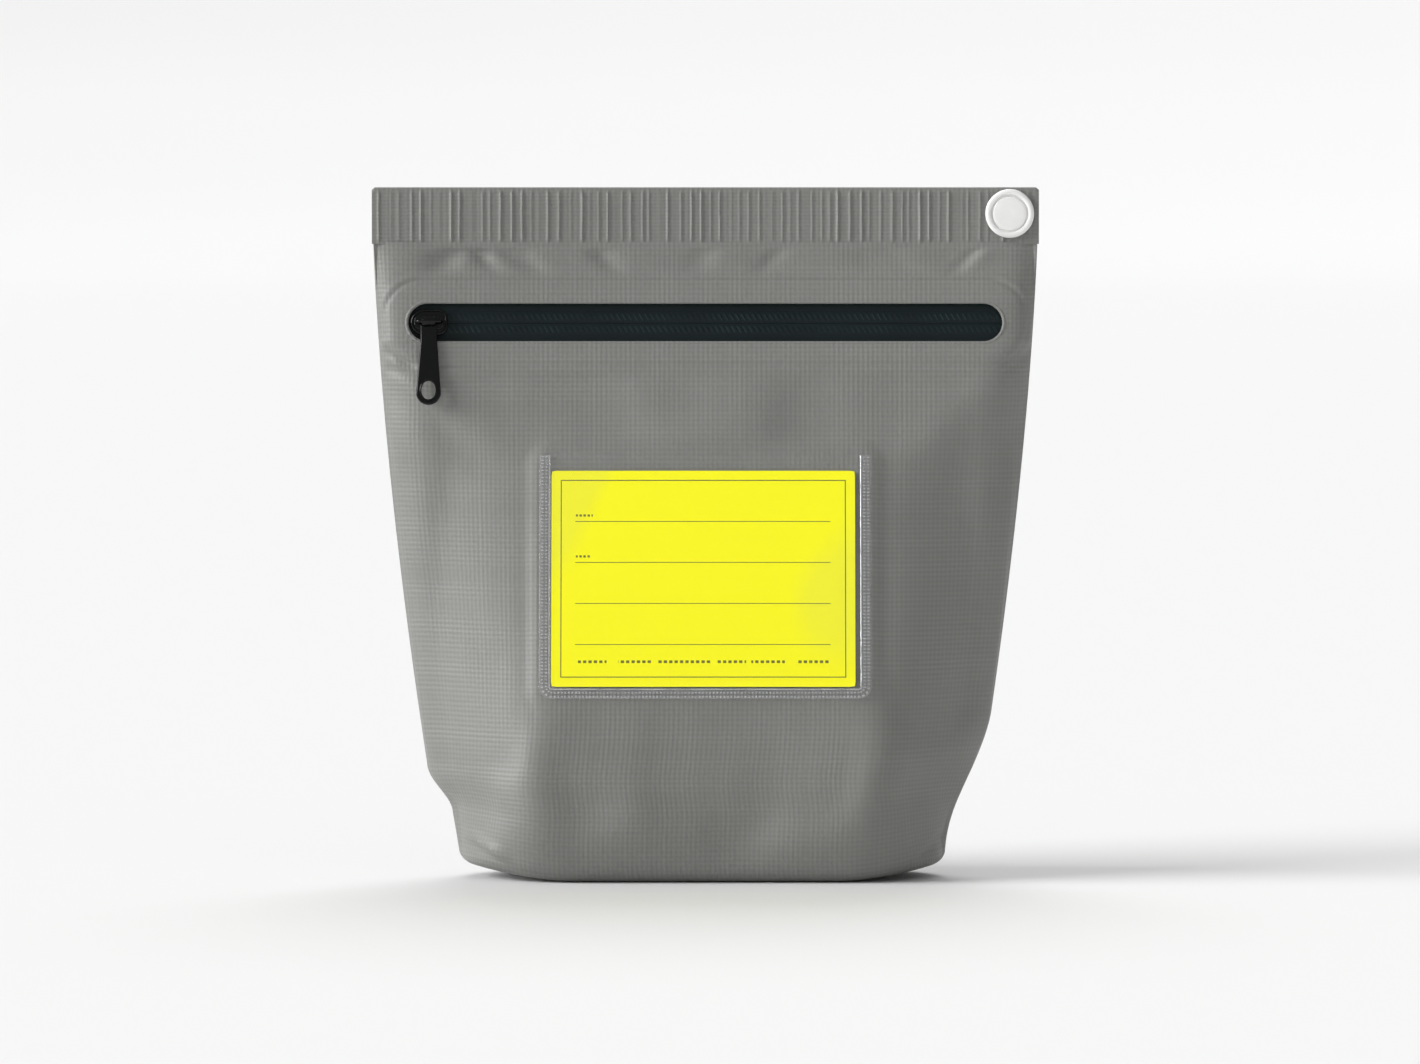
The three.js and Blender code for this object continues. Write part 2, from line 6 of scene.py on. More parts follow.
import json
import math
import random
from contextlib import contextmanager

import bmesh
import bpy
import numpy as np
from bpy.props import FloatProperty, FloatVectorProperty, IntProperty, PointerProperty
from mathutils import Matrix, Vector


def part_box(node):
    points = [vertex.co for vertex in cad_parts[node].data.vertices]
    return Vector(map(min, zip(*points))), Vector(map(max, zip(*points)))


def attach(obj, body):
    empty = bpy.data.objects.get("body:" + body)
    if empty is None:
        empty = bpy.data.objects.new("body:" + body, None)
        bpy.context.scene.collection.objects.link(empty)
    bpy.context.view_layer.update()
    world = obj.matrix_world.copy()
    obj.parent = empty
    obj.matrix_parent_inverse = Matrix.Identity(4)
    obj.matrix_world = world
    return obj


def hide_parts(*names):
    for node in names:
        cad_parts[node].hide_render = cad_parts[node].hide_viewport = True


bl_info = {
    "name": "Zip pouch",
    "version": (1, 0, 0),
    "blender": (4, 5, 0),
    "location": "View3D > Sidebar > Pouch",
    "description": "Builds the sheets, zip, pocket, snap and strap of a tarpaulin pouch",
    "category": "Add Mesh",
}

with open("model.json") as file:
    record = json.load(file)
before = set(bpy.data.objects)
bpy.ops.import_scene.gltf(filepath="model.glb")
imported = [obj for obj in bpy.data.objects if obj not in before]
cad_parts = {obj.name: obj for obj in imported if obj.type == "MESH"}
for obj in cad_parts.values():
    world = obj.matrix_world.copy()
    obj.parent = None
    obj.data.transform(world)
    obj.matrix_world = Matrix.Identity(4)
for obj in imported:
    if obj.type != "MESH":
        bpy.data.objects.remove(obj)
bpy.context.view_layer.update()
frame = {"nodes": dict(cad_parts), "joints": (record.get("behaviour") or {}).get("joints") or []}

MM = 0.001
CLOTH_MAP = "cloth"  # the UV map that runs in metres along a sheet


# ---- places, read from the frame


def joint(name):
    return next(j for j in frame["joints"] if j["name"] == name)


BAND_LOW, BAND_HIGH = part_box("top_band")

BAND_HALF = BAND_HIGH.y
BAND_BOTTOM = BAND_LOW.z
HEIGHT = BAND_HIGH.z
TOP_HALF_WIDTH = BAND_HIGH.x

# The flat front's own directions: across, up the slope and straight out of it.
ACROSS = Vector((1, 0, 0))
UP = Vector(joint("card_slide")["axis"]).normalized()
OUT = Vector((0, -UP.z, UP.y))
SLOPE = UP.y / UP.z

CROWN_BAR = Vector(joint("puller_swing")["pos_m"])
BAND_FOOT = Vector((0, -BAND_HALF, BAND_BOTTOM))  # where the flat front meets the band
BAR_OUT = (CROWN_BAR - BAND_FOOT).dot(OUT)
ZIP = CROWN_BAR - OUT * BAR_OUT  # on the front's outer face, on the line of the zip
SLIDER_X = CROWN_BAR.x
ZIP_ORIGIN = Vector((0, ZIP.y, ZIP.z))


def on_front(x, up, out):
    """A point on the flat front: across, up the slope from the zip, and out of the face."""
    return ZIP_ORIGIN + ACROSS * x + UP * up + OUT * out


def grid_on_front(x, up, out):
    """The same for whole grids of places."""
    return (np.array(ZIP_ORIGIN) + x[..., None] * np.array(ACROSS)
            + up[..., None] * np.array(UP) + out[..., None] * np.array(OUT))


def front_span(node):
    """A CAD node's lowest and highest (across, up, out) on the flat front."""
    spots = [v.co - ZIP_ORIGIN for v in frame["nodes"][node].data.vertices]
    sizes = np.array([(s.x, s.dot(UP), s.dot(OUT)) for s in spots])
    return sizes.min(0), sizes.max(0)


FRONT_MATRIX = Matrix((
    (ACROSS.x, UP.x, OUT.x, ZIP_ORIGIN.x),
    (ACROSS.y, UP.y, OUT.y, ZIP_ORIGIN.y),
    (ACROSS.z, UP.z, OUT.z, ZIP_ORIGIN.z),
    (0, 0, 0, 1),
))

SNAP_LOW, SNAP_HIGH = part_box("snap_cap")
SNAP_X = (SNAP_LOW.x + SNAP_HIGH.x) / 2
SNAP_Z = (SNAP_LOW.z + SNAP_HIGH.z) / 2

# The pocket's weld: two rows of pressed dots.
KNURL_PITCH = 1.05 * MM
WELD_ROWS_MIDDLE = 0.16 * MM
WELD_ROW_APART = 0.6 * MM

# The pouch's outline, as its CAD walls have it.
KNEE_Z = 45 * MM
KNEE_HALF = BAND_HALF + (BAND_BOTTOM - KNEE_Z) * SLOPE
FOOT_HALF_WIDTH = 73.5 * MM
FOOT_HALF_DEPTH = 26 * MM
FOOT_FLARE = 0.42
BOX_HALF_WIDTH = 76 * MM
BOX_Z = 17 * MM
SHOULDER_HALF_WIDTH = 83.7 * MM
SHOULDER_Z = 34 * MM
SIDE_CURVE = 1.6
END_REACH = 34 * MM
END_REACH_TOP = 1.6 * MM
END_CURVE = 1.2
EDGE_RADIUS = 4 * MM

# How the soft walls differ from that outline.
RIGHT_FOOT = 72 * MM  # half width of the right end at the floor
RIGHT_EASE = 50 * MM  # height by which the right end has widened
CREASE_FOOT = 45.5 * MM  # the front's end creases: at the floor, at their elbow, and its height
CREASE_ELBOW = 54 * MM
CREASE_ELBOW_Z = 122 * MM
CREASE_RUN = 42 * MM  # height over which a crease runs out from its elbow to the side
ROUND_LOW = 1.9  # 2 is an ellipse, 1 is a straight bevel
ROUND_HIGH = 1.4
CREASE_SOFTNESS = 6.5 * MM
CORNER_LIFT = 4 * MM
LIFT_FROM, LIFT_TO = 38 * MM, 78 * MM  # from the middle outwards
LIFT_HEIGHT = 36 * MM  # where the lift has died out
OUTLINE_STEPS = 60  # along each rounded end


def upper_half_width(z):
    """Half the width above the shoulders, where both ends are alike."""
    below = (HEIGHT - z) / (HEIGHT - SHOULDER_Z)
    return TOP_HALF_WIDTH - (TOP_HALF_WIDTH - SHOULDER_HALF_WIDTH) * max(0.0, below) ** SIDE_CURVE


def smooth_step(low, high, value):
    """0 below low, 1 above high, and a smooth change between."""
    t = np.clip((value - low) / (high - low), 0, 1)
    return t * t * (3 - 2 * t)


def half_width(z, end):
    """Half the width at a height. The left end (-1) is boxed in, the right end (1) slopes."""
    if end > 0:
        return RIGHT_FOOT + (upper_half_width(z) - RIGHT_FOOT) * smooth_step(0, RIGHT_EASE, z)
    if z <= BOX_Z:
        return FOOT_HALF_WIDTH + (BOX_HALF_WIDTH - FOOT_HALF_WIDTH) * z / BOX_Z
    if z <= SHOULDER_Z:
        rise = smooth_step(BOX_Z, SHOULDER_Z, z)
        return BOX_HALF_WIDTH + (SHOULDER_HALF_WIDTH - BOX_HALF_WIDTH) * rise
    return upper_half_width(z)


def half_depth(z):
    """Half the depth at a height: straight to the knee, and a curve from there to the foot."""
    if z >= KNEE_Z:
        return BAND_HALF + (BAND_BOTTOM - z) * SLOPE
    t = z / KNEE_Z
    leave, arrive = FOOT_FLARE * KNEE_Z, -SLOPE * KNEE_Z
    bend = 3 * (KNEE_HALF - FOOT_HALF_DEPTH) - 2 * leave - arrive
    twist = 2 * (FOOT_HALF_DEPTH - KNEE_HALF) + leave + arrive
    return FOOT_HALF_DEPTH + t * (leave + t * (bend + t * twist))


def crease_x(z, side, end):
    """Where a wall's flat middle ends and its turned-back end begins."""
    width = half_width(z, end)
    if side > 0:
        share = (half_depth(z) / KNEE_HALF) ** END_CURVE
        return width - (END_REACH_TOP + (END_REACH - END_REACH_TOP) * share)
    low = CREASE_FOOT + (CREASE_ELBOW - CREASE_FOOT) * z / CREASE_ELBOW_Z
    high = CREASE_ELBOW + (TOP_HALF_WIDTH - CREASE_ELBOW) * (z - CREASE_ELBOW_Z) / CREASE_RUN
    return min(width - END_REACH_TOP, max(low, high))


def edge_inset(z):
    """How far the rounded bottom edge has turned in at a height."""
    if z >= EDGE_RADIUS:
        return 0.0
    return EDGE_RADIUS - math.sqrt(EDGE_RADIUS ** 2 - (EDGE_RADIUS - z) ** 2)


def half_outline(z, inset, count, side=-1):
    """count points round one wall at one height, evenly along the cloth, left to right.

    The back wall (1) is given turned round, so that it too faces -Y.
    """
    depth = half_depth(z) - inset
    roundness = 2 / (ROUND_HIGH + (ROUND_LOW - ROUND_HIGH) * (1 - smooth_step(0, BOX_Z * 2, z)))
    turn = np.linspace(0, math.pi / 2, OUTLINE_STEPS)
    halves = []
    for end in (-1, 1):
        real_end = end if side < 0 else -end
        middle = crease_x(z, side, real_end)
        reach = half_width(z, real_end) - middle
        x = end * (middle + (reach - inset) * np.cos(turn) ** roundness)
        halves.append((x, -depth * np.sin(turn) ** roundness))
    x = np.concatenate([halves[0][0], halves[1][0][::-1]])
    y = np.concatenate([halves[0][1], halves[1][1][::-1]])
    along = np.concatenate([[0], np.cumsum(np.hypot(np.diff(x), np.diff(y)))])
    wanted = np.linspace(0, along[-1], count)
    x, y = np.interp(wanted, along, x), np.interp(wanted, along, y)
    for _ in range(int((CREASE_SOFTNESS * (count - 1) / along[-1]) ** 2)):
        x[1:-1] = (x[:-2] + 2 * x[1:-1] + x[2:]) / 4
        y[1:-1] = (y[:-2] + 2 * y[1:-1] + y[2:]) / 4
    return x, y, along[-1]


def lifted(points):
    """The foot's two ends stand a little off the floor."""
    x, z = np.abs(points[..., 0]), points[..., 2]
    made = points.copy()
    made[..., 2] += (CORNER_LIFT * smooth_step(LIFT_FROM, LIFT_TO, x)
                     * (1 - smooth_step(0, LIFT_HEIGHT, z)))
    return made


# ---- mesh helpers


def placed(name, data):
    """An object in the scene, round a mesh, curve, light or camera."""
    made = bpy.data.objects.new(name, data)
    bpy.context.scene.collection.objects.link(made)
    return made


def mesh_object(name, vertices, faces, cloth=None):
    """An object from points and faces. cloth gives each point's place along the sheet."""
    mesh = bpy.data.meshes.new(name)
    mesh.from_pydata(np.asarray(vertices, float).reshape(-1, 3).tolist(), [], faces)
    mesh.polygons.foreach_set("use_smooth", [True] * len(mesh.polygons))
    if cloth is not None:
        corners = np.zeros(len(mesh.loops), np.int32)
        mesh.loops.foreach_get("vertex_index", corners)
        layer = mesh.uv_layers.new(name=CLOTH_MAP)
        layer.data.foreach_set("uv", np.asarray(cloth, np.float32).reshape(-1, 2)[corners].ravel())
    mesh.update()
    return placed(name, mesh)


def grid_faces(rows, columns, wrap=False, keep=None):
    """Quads over a grid of points, row by row. keep is False where one is left out."""
    faces = []
    for r in range(rows - 1):
        for c in range(columns if wrap else columns - 1):
            if keep is None or keep[r, c]:
                d = (c + 1) % columns
                faces.append((r * columns + c, r * columns + d,
                              (r + 1) * columns + d, (r + 1) * columns + c))
    return faces


def grid_normals(points):
    """Unit normals of a grid of points: columns run to the right, rows run up."""
    right = np.gradient(points, axis=1)
    up = np.gradient(points, axis=0)
    normal = np.cross(right, up)
    return normal / np.maximum(np.linalg.norm(normal, axis=2, keepdims=True), 1e-12)


@contextmanager
def edited(made):
    """The object's mesh, open for changes, and written back at the end."""
    work = bmesh.new()
    work.from_mesh(made.data)
    yield work
    work.to_mesh(made.data)
    work.free()


def drop_loose(made):
    """Removes points that no face uses."""
    with edited(made) as work:
        bmesh.ops.delete(work, geom=[v for v in work.verts if not v.link_faces], context="VERTS")


def weld(made, distance=1e-6):
    """Joins points that lie on each other, and turns the faces outwards."""
    with edited(made) as work:
        bmesh.ops.remove_doubles(work, verts=work.verts, dist=distance)
        bmesh.ops.recalc_face_normals(work, faces=work.faces)


def final_mesh(made):
    """The mesh of a curve, or of an object with its modifiers applied."""
    bpy.context.view_layer.update()
    graph = bpy.context.evaluated_depsgraph_get()
    return bpy.data.meshes.new_from_object(made.evaluated_get(graph))


def solidify(made, thick):
    """Gives a sheet its thickness, behind its face."""
    modifier = made.modifiers.new("thickness", "SOLIDIFY")
    modifier.thickness = thick
    modifier.offset = -1.0
    mesh = final_mesh(made)
    made.modifiers.clear()
    made.data = mesh
    return made


def join(name, parts):
    """One object out of several, with their meshes in the shared frame."""
    work = bmesh.new()
    for part in parts:
        bpy.context.view_layer.update()
        part.data.transform(part.matrix_world)
        work.from_mesh(part.data)
        bpy.data.objects.remove(part)
    mesh = bpy.data.meshes.new(name)
    work.to_mesh(mesh)
    work.free()
    return placed(name, mesh)


def set_smooth(made, degrees=40):
    """Smooth shading, with edges sharper than the angle kept crisp."""
    polygons = made.data.polygons
    polygons.foreach_set("use_smooth", [True] * len(polygons))
    limit = math.radians(degrees)
    with edited(made) as work:
        for edge in work.edges:
            edge.smooth = len(edge.link_faces) == 2 and edge.calc_face_angle(0) < limit
    return made


def plate(name, outlines, thick, edge, matrix, rounds=3):
    """A flat plate with rounded edges, drawn in the matrix's X and Y. Later outlines are holes."""
    curve = bpy.data.curves.new(name, "CURVE")
    curve.dimensions = "2D"
    curve.fill_mode = "BOTH"
    curve.extrude = thick / 2 - edge
    curve.bevel_depth = edge
    curve.bevel_resolution = rounds
    curve.offset = -edge
    for outline in outlines:
        spline = curve.splines.new("POLY")
        spline.points.add(len(outline) - 1)
        for point, (x, y) in zip(spline.points, outline):
            point.co = (x, y, 0, 1)
        spline.use_cyclic_u = True
    drawn = placed(name, curve)
    mesh = final_mesh(drawn)
    bpy.data.objects.remove(drawn)
    mesh.transform(matrix)
    made = placed(name, mesh)
    weld(made)
    return set_smooth(made)


def arc(x, y, radius, start, end, steps=12, stretch=1.0):
    """Points on an arc, in degrees. stretch makes it taller."""
    turns = np.radians(np.linspace(start, end, steps + 1))
    return [(x + radius * math.cos(t), y + radius * stretch * math.sin(t)) for t in turns]


def round_rect(x, y, width, height, radius, steps=8):
    """Points round a rounded rectangle about a middle."""
    dx, dy = width / 2 - radius, height / 2 - radius
    corners = [(1, -1, -90), (1, 1, 0), (-1, 1, 90), (-1, -1, 180)]
    points = []
    for sx, sy, start in corners:
        points += arc(x + sx * dx, y + sy * dy, radius, start, start + 90, steps)
    return points


def sdf_round_rect(x, y, half_across, half_up, radius):
    """Signed distance to a rounded rectangle about the origin, negative inside."""
    qx = np.abs(x) - half_across + radius
    qy = np.abs(y) - half_up + radius
    outside = np.hypot(np.maximum(qx, 0), np.maximum(qy, 0))
    return outside + np.minimum(np.maximum(qx, qy), 0) - radius


def turned(name, profile, centre, steps=72):
    """A piece turned about the Y axis through centre, from (radius, y) points along its skin."""
    angles = np.linspace(0, 2 * math.pi, steps, endpoint=False)
    rings = [[(centre.x + r * math.cos(a), y, centre.z + r * math.sin(a)) for a in angles]
             for r, y in profile]
    faces = grid_faces(len(profile), steps, wrap=True)
    made = mesh_object(name, rings, faces)
    weld(made)
    return set_smooth(made, 50)


def fillet(corners, radius, steps=4):
    """The corners of an open line, rounded."""
    points = [corners[0]]
    for before, corner, after in zip(corners, corners[1:], corners[2:]):
        a, b, c = Vector(before), Vector(corner), Vector(after)
        cut = min(radius, (a - b).length * 0.45, (c - b).length * 0.45)
        start, end = b + (a - b).normalized() * cut, b + (c - b).normalized() * cut
        for i in range(steps + 1):
            t = i / steps
            spot = start.lerp(b, t).lerp(b.lerp(end, t), t)
            points.append(tuple(spot))
    return points + [corners[-1]]


def tube(name, points, radius, sides=10, closed=False, flatten=1.0, flat_axis=None):
    """A round or flattened bar along a line of points."""
    path = [Vector(p) for p in points]
    rings = []
    count = len(path)
    previous = None
    for i, spot in enumerate(path):
        ahead = path[(i + 1) % count] if closed or i < count - 1 else spot
        behind = path[i - 1] if closed or i > 0 else spot
        along = (ahead - behind).normalized()
        side = flat_axis if flat_axis else (previous or along.orthogonal())
        side = (side - along * side.dot(along)).normalized()
        previous = side
        other = along.cross(side)
        rings.append([spot + (side * math.cos(a) * flatten + other * math.sin(a)) * radius
                      for a in np.linspace(0, 2 * math.pi, sides, endpoint=False)])
    faces = grid_faces(count, sides, wrap=True)
    if closed:
        last = (count - 1) * sides
        faces += [(last + c, last + (c + 1) % sides, (c + 1) % sides, c) for c in range(sides)]
    else:
        faces += [tuple(range(sides))[::-1], tuple((count - 1) * sides + c for c in range(sides))]
    made = mesh_object(name, rings, faces)
    weld(made)
    return set_smooth(made, 60)


def dress(made, body, slot, material, *nodes):
    """Gives a finished piece its material and its body, and hides the CAD nodes it stands for. The
    slot is not used.
    """
    if not made.data.polygons:
        raise RuntimeError(f"{made.name} came out with no faces")
    made.data.materials.clear()
    made.data.materials.append(material)
    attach(made, body)
    if nodes:
        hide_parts(*nodes)
    return made


# ---- shader maths


class Value:
    """A node socket that can be used in sums."""

    def __init__(self, finish, socket):
        self.finish = finish
        self.socket = socket

    def _math(self, operation, other, flip=False):
        pair = [other, self] if flip else [self, other]
        return self.finish.node("Math", {"operation": operation}, {0: pair[0], 1: pair[1]})

    def __add__(self, other):
        return self._math("ADD", other)

    def __sub__(self, other):
        return self._math("SUBTRACT", other)

    def __rsub__(self, other):
        return self._math("SUBTRACT", other, flip=True)

    def __mul__(self, other):
        return self._math("MULTIPLY", other)

    def __gt__(self, other):
        return self._math("GREATER_THAN", other)

    def __lt__(self, other):
        return self._math("LESS_THAN", other)

    __radd__ = __add__
    __rmul__ = __mul__

    def __abs__(self):
        return self._math("ABSOLUTE", 0.0)

    def at_least(self, other):
        return self._math("MAXIMUM", other)

    def close_to(self, other, within):
        """1 where this is within a distance of other, 0 elsewhere."""
        return abs(self - other) < within

    def sine(self):
        return self._math("SINE", 0.0)


class Finish:
    """One material's node tree round a Principled shader."""

    def __init__(self, name, **constants):
        self.material = bpy.data.materials.new(name)
        self.material.use_nodes = True
        self.tree = self.material.node_tree
        self.shader = self.tree.nodes["Principled BSDF"]
        for socket, value in constants.items():
            self.shader.inputs[socket.replace("_", " ")].default_value = value

    def node(self, kind, settings=None, sockets=None, output=0):
        """Adds a node: its settings first, then its sockets' values or links."""
        made = self.tree.nodes.new("ShaderNode" + kind)
        for key, value in (settings or {}).items():
            setattr(made, key, value)
        for key, value in (sockets or {}).items():
            if isinstance(value, Value):
                self.tree.links.new(value.socket, made.inputs[key])
            else:
                made.inputs[key].default_value = value
        return Value(self, made.outputs[output])

    def feed(self, **sockets):
        for key, value in sockets.items():
            self.tree.links.new(value.socket, self.shader.inputs[key.replace("_", " ")])

    def cloth(self):
        """The place along the sheet, in metres, as two values."""
        place = self.node("UVMap", {"uv_map": CLOTH_MAP})
        apart = self.node("SeparateXYZ", sockets={0: place})
        return apart, Value(self, apart.socket.node.outputs[1])

    def place(self):
        return self.node("TexCoord", output=3)

    def axes(self):
        apart = self.node("SeparateXYZ", sockets={0: self.place()})
        outputs = apart.socket.node.outputs
        return [Value(self, outputs[i]) for i in range(3)]

    def noise(self, scale, detail=2.0, vector=None):
        return self.node("TexNoise", sockets={
            "Vector": vector or self.place(), "Scale": scale, "Detail": detail})

    def mix(self, amount, low, high):
        """A colour between two colours or colour links."""
        return self.node("Mix", {"data_type": "RGBA"}, {0: amount, 6: low, 7: high}, output=2)

    def scaled(self, value, low, high):
        """A 0 to 1 value, stretched to a range."""
        return value * (high - low) + low

    def bump(self, height, distance, strength=1.0):
        return self.node("Bump", sockets={
            "Strength": strength, "Distance": distance, "Height": height})


def colour(rgb, scale=1.0):
    """A colour for a socket, darker or lighter than the one given."""
    return (rgb[0] * scale, rgb[1] * scale, rgb[2] * scale, 1.0)


THREAD_CHANGE = 0.31  # how much a thread's strength changes from one thread to the next
THREAD_DRIFT = 9.0  # and how quickly along the thread, per metre


def threads(finish, across, up, pitch):
    """The height of a plain weave under a coating: crossing ridges, some stronger than others."""
    def ridges(over, spot):
        strength = finish.noise(1.0, 1.0, finish.node("CombineXYZ", sockets=spot))
        return ((over * (2 * math.pi / pitch)).sine() * 0.5 + 0.5) * strength

    change = THREAD_CHANGE / pitch
    return (ridges(across, {0: across * change, 1: up * THREAD_DRIFT}) * 0.72
            + ridges(up, {0: across * THREAD_DRIFT, 1: up * change}) * 0.85)


def tarp_finish(sizes, colours):
    finish = Finish("coated_tarpaulin", Specular_IOR_Level=0.42, Coat_Roughness=0.5)
    across, up = finish.cloth()
    weave = threads(finish, across, up, sizes.weave_pitch)
    broad = finish.noise(14.0, 3.0)
    fine = finish.noise(900.0, 2.0)
    shade = weave * 0.55 + broad * 0.35 + fine * 0.1 - 0.1
    tarp = colours.tarp
    finish.feed(
        Base_Color=finish.mix(shade, colour(tarp, 0.82), colour(tarp, 1.2)),
        Roughness=finish.scaled(broad, 0.42, 0.6) + fine * 0.05,
        Normal=finish.bump(weave + fine * 0.3, 0.12 * MM, 0.9),
    )
    return finish.material


def lining_finish(sizes, colours):
    finish = Finish("fire_cloth", Sheen_Weight=0.2)
    across, up = finish.cloth()
    weave = threads(finish, across, up, sizes.weave_pitch * 0.6)
    broad = finish.noise(20.0, 3.0)
    finish.feed(
        Base_Color=finish.mix(weave * 0.5 + broad * 0.3, colour(colours.lining, 0.7),
                              colour(colours.lining, 1.1)),
        Roughness=finish.scaled(broad, 0.75, 0.95),
        Normal=finish.bump(weave, 0.15 * MM, 0.9),
    )
    return finish.material


def tape_finish(colours):
    finish = Finish("coated_tape", Specular_IOR_Level=0.16)
    across, up = finish.cloth()
    wales = ((up * (2 * math.pi / (0.8 * MM))).sine() * 0.5 + 0.5) * 0.5
    fine = finish.noise(1200.0, 3.0)
    broad = finish.noise(30.0, 2.0)
    away = abs(up)
    # Painted highlight, not wear: the marks of the coil's turns, in two rows by the zip's middle,
    # are lightened in the colour where they would catch the light, and a noise makes that highlight
    # patchy.
    row = (away > 0.9 * MM) * (away < 2.9 * MM)
    ticks = ((across + up * TICK_LEAN) * (2 * math.pi / TICK_PITCH)).sine() > 0.72
    glint_patchiness = finish.node("MapRange", {}, {0: finish.noise(55.0, 2.0), 1: 0.45, 2: 0.65})
    glint_strength = ticks * row * glint_patchiness
    finish.feed(
        # The base colour rises to 4.5 times the tape's own at the painted highlight on the coil
        # marks.
        Base_Color=finish.mix(glint_strength * 0.6 + broad * 0.15 + fine * 0.1, colour(colours.tape, 0.8),
                              colour(colours.tape, 4.5)),
        Roughness=finish.scaled(broad, 0.38, 0.55),
        Normal=finish.bump(wales + fine * 0.6, 0.04 * MM, 0.7),
    )
    return finish.material


def hard_finish(name, rgb, rough, scale, bump, metal=0.0, coat=0.0, specular=0.5):
    """A moulded or painted piece: a fine grain, and a little variation in colour and gloss."""
    finish = Finish(name, Metallic=metal, Specular_IOR_Level=specular, Coat_Roughness=0.08)
    fine = finish.noise(scale, 3.0)
    broad = finish.noise(60.0, 2.0)
    finish.shader.inputs["Coat Weight"].default_value = coat
    finish.feed(
        Base_Color=finish.mix(broad * 0.7 + fine * 0.3, colour(rgb, 0.85), colour(rgb, 1.12)),
        Roughness=finish.scaled(broad, rough * 0.8, rough * 1.25),
        Normal=finish.bump(fine, bump, 0.5),
    )
    return finish.material


def vinyl_finish(name, colours, low_alpha, high_alpha, rough):
    """Clear flexible sheet: the little that it shows is gloss."""
    finish = Finish(name, Metallic=1.0)
    haze = finish.noise(13.0, 1.0)
    ripple = finish.noise(60.0, 2.0)
    patch = finish.node("MapRange", {"interpolation_type": "SMOOTHSTEP"},
                        {0: haze, 1: 0.47, 2: 0.54, 3: low_alpha, 4: high_alpha})
    finish.feed(
        Base_Color=finish.mix(haze, colour(colours.vinyl, 0.95), colour(colours.vinyl, 1.0)),
        Alpha=patch,
        Roughness=finish.scaled(ripple, rough * 0.8, rough * 1.2),
        Normal=finish.bump(ripple, 0.5 * MM, 0.3),
    )
    return finish.material


def weld_finish(colours):
    """Welded vinyl: two rows of pressed dots that catch the light, and a bright inner edge."""
    finish = Finish("welded_vinyl", Metallic=1.0, Roughness=0.25)
    along, offset = finish.cloth()
    # A noise that varies the tone and how strong the painted highlights of the dots and inner edge
    # come out.
    glint_strength = finish.noise(260.0, 2.0)
    row = abs(abs(offset - WELD_ROWS_MIDDLE) - WELD_ROW_APART) < 0.34 * MM
    dots = (along * (2 * math.pi / KNURL_PITCH)).sine() > 0.1
    edge = abs(offset + 1.38 * MM) < 0.17 * MM
    lit = (row * dots * 0.55).at_least(edge * 0.9)
    finish.feed(
        Base_Color=finish.mix(glint_strength, colour(colours.vinyl, 0.85), colour(colours.vinyl, 1.0)),
        Alpha=lit * glint_strength * 0.8 + 0.08,
    )
    return finish.material


def card_finish(colours, width, height):
    """A printed index card: a border, ruled lines and short plain bars, and no lettering."""
    finish = Finish("printed_card", Specular_IOR_Level=0.4)
    x, y = finish.cloth()
    inset, half_line = 2.9 * MM, 0.16 * MM
    left, right, low, high = inset, width - inset, inset, height - inset
    inside = (x > left - half_line) * (x < right + half_line)
    inside = inside * (y > low - half_line) * (y < high + half_line)
    sides = x.close_to(left, half_line).at_least(x.close_to(right, half_line))
    ends = y.close_to(low, half_line).at_least(y.close_to(high, half_line))
    ink = sides.at_least(ends) * inside

    span = (x > 7.1 * MM) * (x < width - 7.4 * MM)
    rule_step = (height - 2 * inset) * 0.2085
    first_rule = low + (height - 2 * inset) * 0.165
    for i in range(4):
        ink = ink.at_least(y.close_to(first_rule + i * rule_step, 0.12 * MM) * span)

    def bar(start, end, middle, half, dash):
        marks = (x * (2 * math.pi / dash)).sine() > -0.35
        return (x > start) * (x < end) * y.close_to(middle, half) * marks

    labels = [(7.3 * MM, 12.3 * MM, first_rule + 3 * rule_step + 1.8 * MM),
              (7.3 * MM, 11.8 * MM, first_rule + 2 * rule_step + 1.8 * MM)]
    for start, end, middle in labels:
        ink = ink.at_least(bar(start, end, middle, 0.34 * MM, 1.2 * MM))
    foot = low + 4.6 * MM
    for start, end in [(8.0, 16.5), (20.0, 30.0), (31.5, 47.5), (49.0, 58.0), (59.5, 69.5),
                       (73.0, 82.5)]:
        ink = ink.at_least(bar(start * MM, end * MM, foot, 0.42 * MM, 1.6 * MM))

    grain = finish.noise(700.0, 3.0)
    paper = finish.mix(grain, colour(colours.card, 0.97), colour(colours.card, 1.0))
    finish.feed(
        Base_Color=finish.mix(ink * 0.88, paper, (0.05, 0.05, 0.03, 1)),
        Roughness=finish.scaled(grain, 0.55, 0.7),
        Normal=finish.bump(grain, 0.02 * MM, 0.5),
    )
    return finish.material


# ---- settings


def length(name, description, default):
    return FloatProperty(name=name, description=description, default=default,
                         unit="LENGTH", subtype="DISTANCE")


def tint(name, description, *default):
    return FloatVectorProperty(name=name, description=description, default=default,
                               subtype="COLOR", min=0, max=1)


class PouchSizes(bpy.types.PropertyGroup):
    """Sizes of the pouch's sheets and details."""

    sheet: length("Sheet", "Thickness of the tarpaulin", 0.7 * MM)
    lining: length("Lining", "Thickness of the inner cloth", 0.6 * MM)
    weave_pitch: length("Weave pitch", "Thread to thread under the coating", 1.45 * MM)
    rib_pitch: length("Rib pitch", "Rib to rib along the top band", 3.0 * MM)
    rib_height: length("Rib height", "How far a full rib stands up", 0.5 * MM)
    pucker: length("Pucker", "Depth of the puckers under the band", 1.7 * MM)
    fold: length("Fold depth", "Depth of the soft folds in the walls", 1.4 * MM)
    tooth_pitch: length("Tooth pitch", "Coil turn to coil turn", 1.27 * MM)
    settle_limit: length("Settling limit", "Furthest that the cloth settles", 1.3 * MM)
    frames: IntProperty(name="Settling", description="Frames that the cloth settles for",
                        default=18, min=1, max=60)


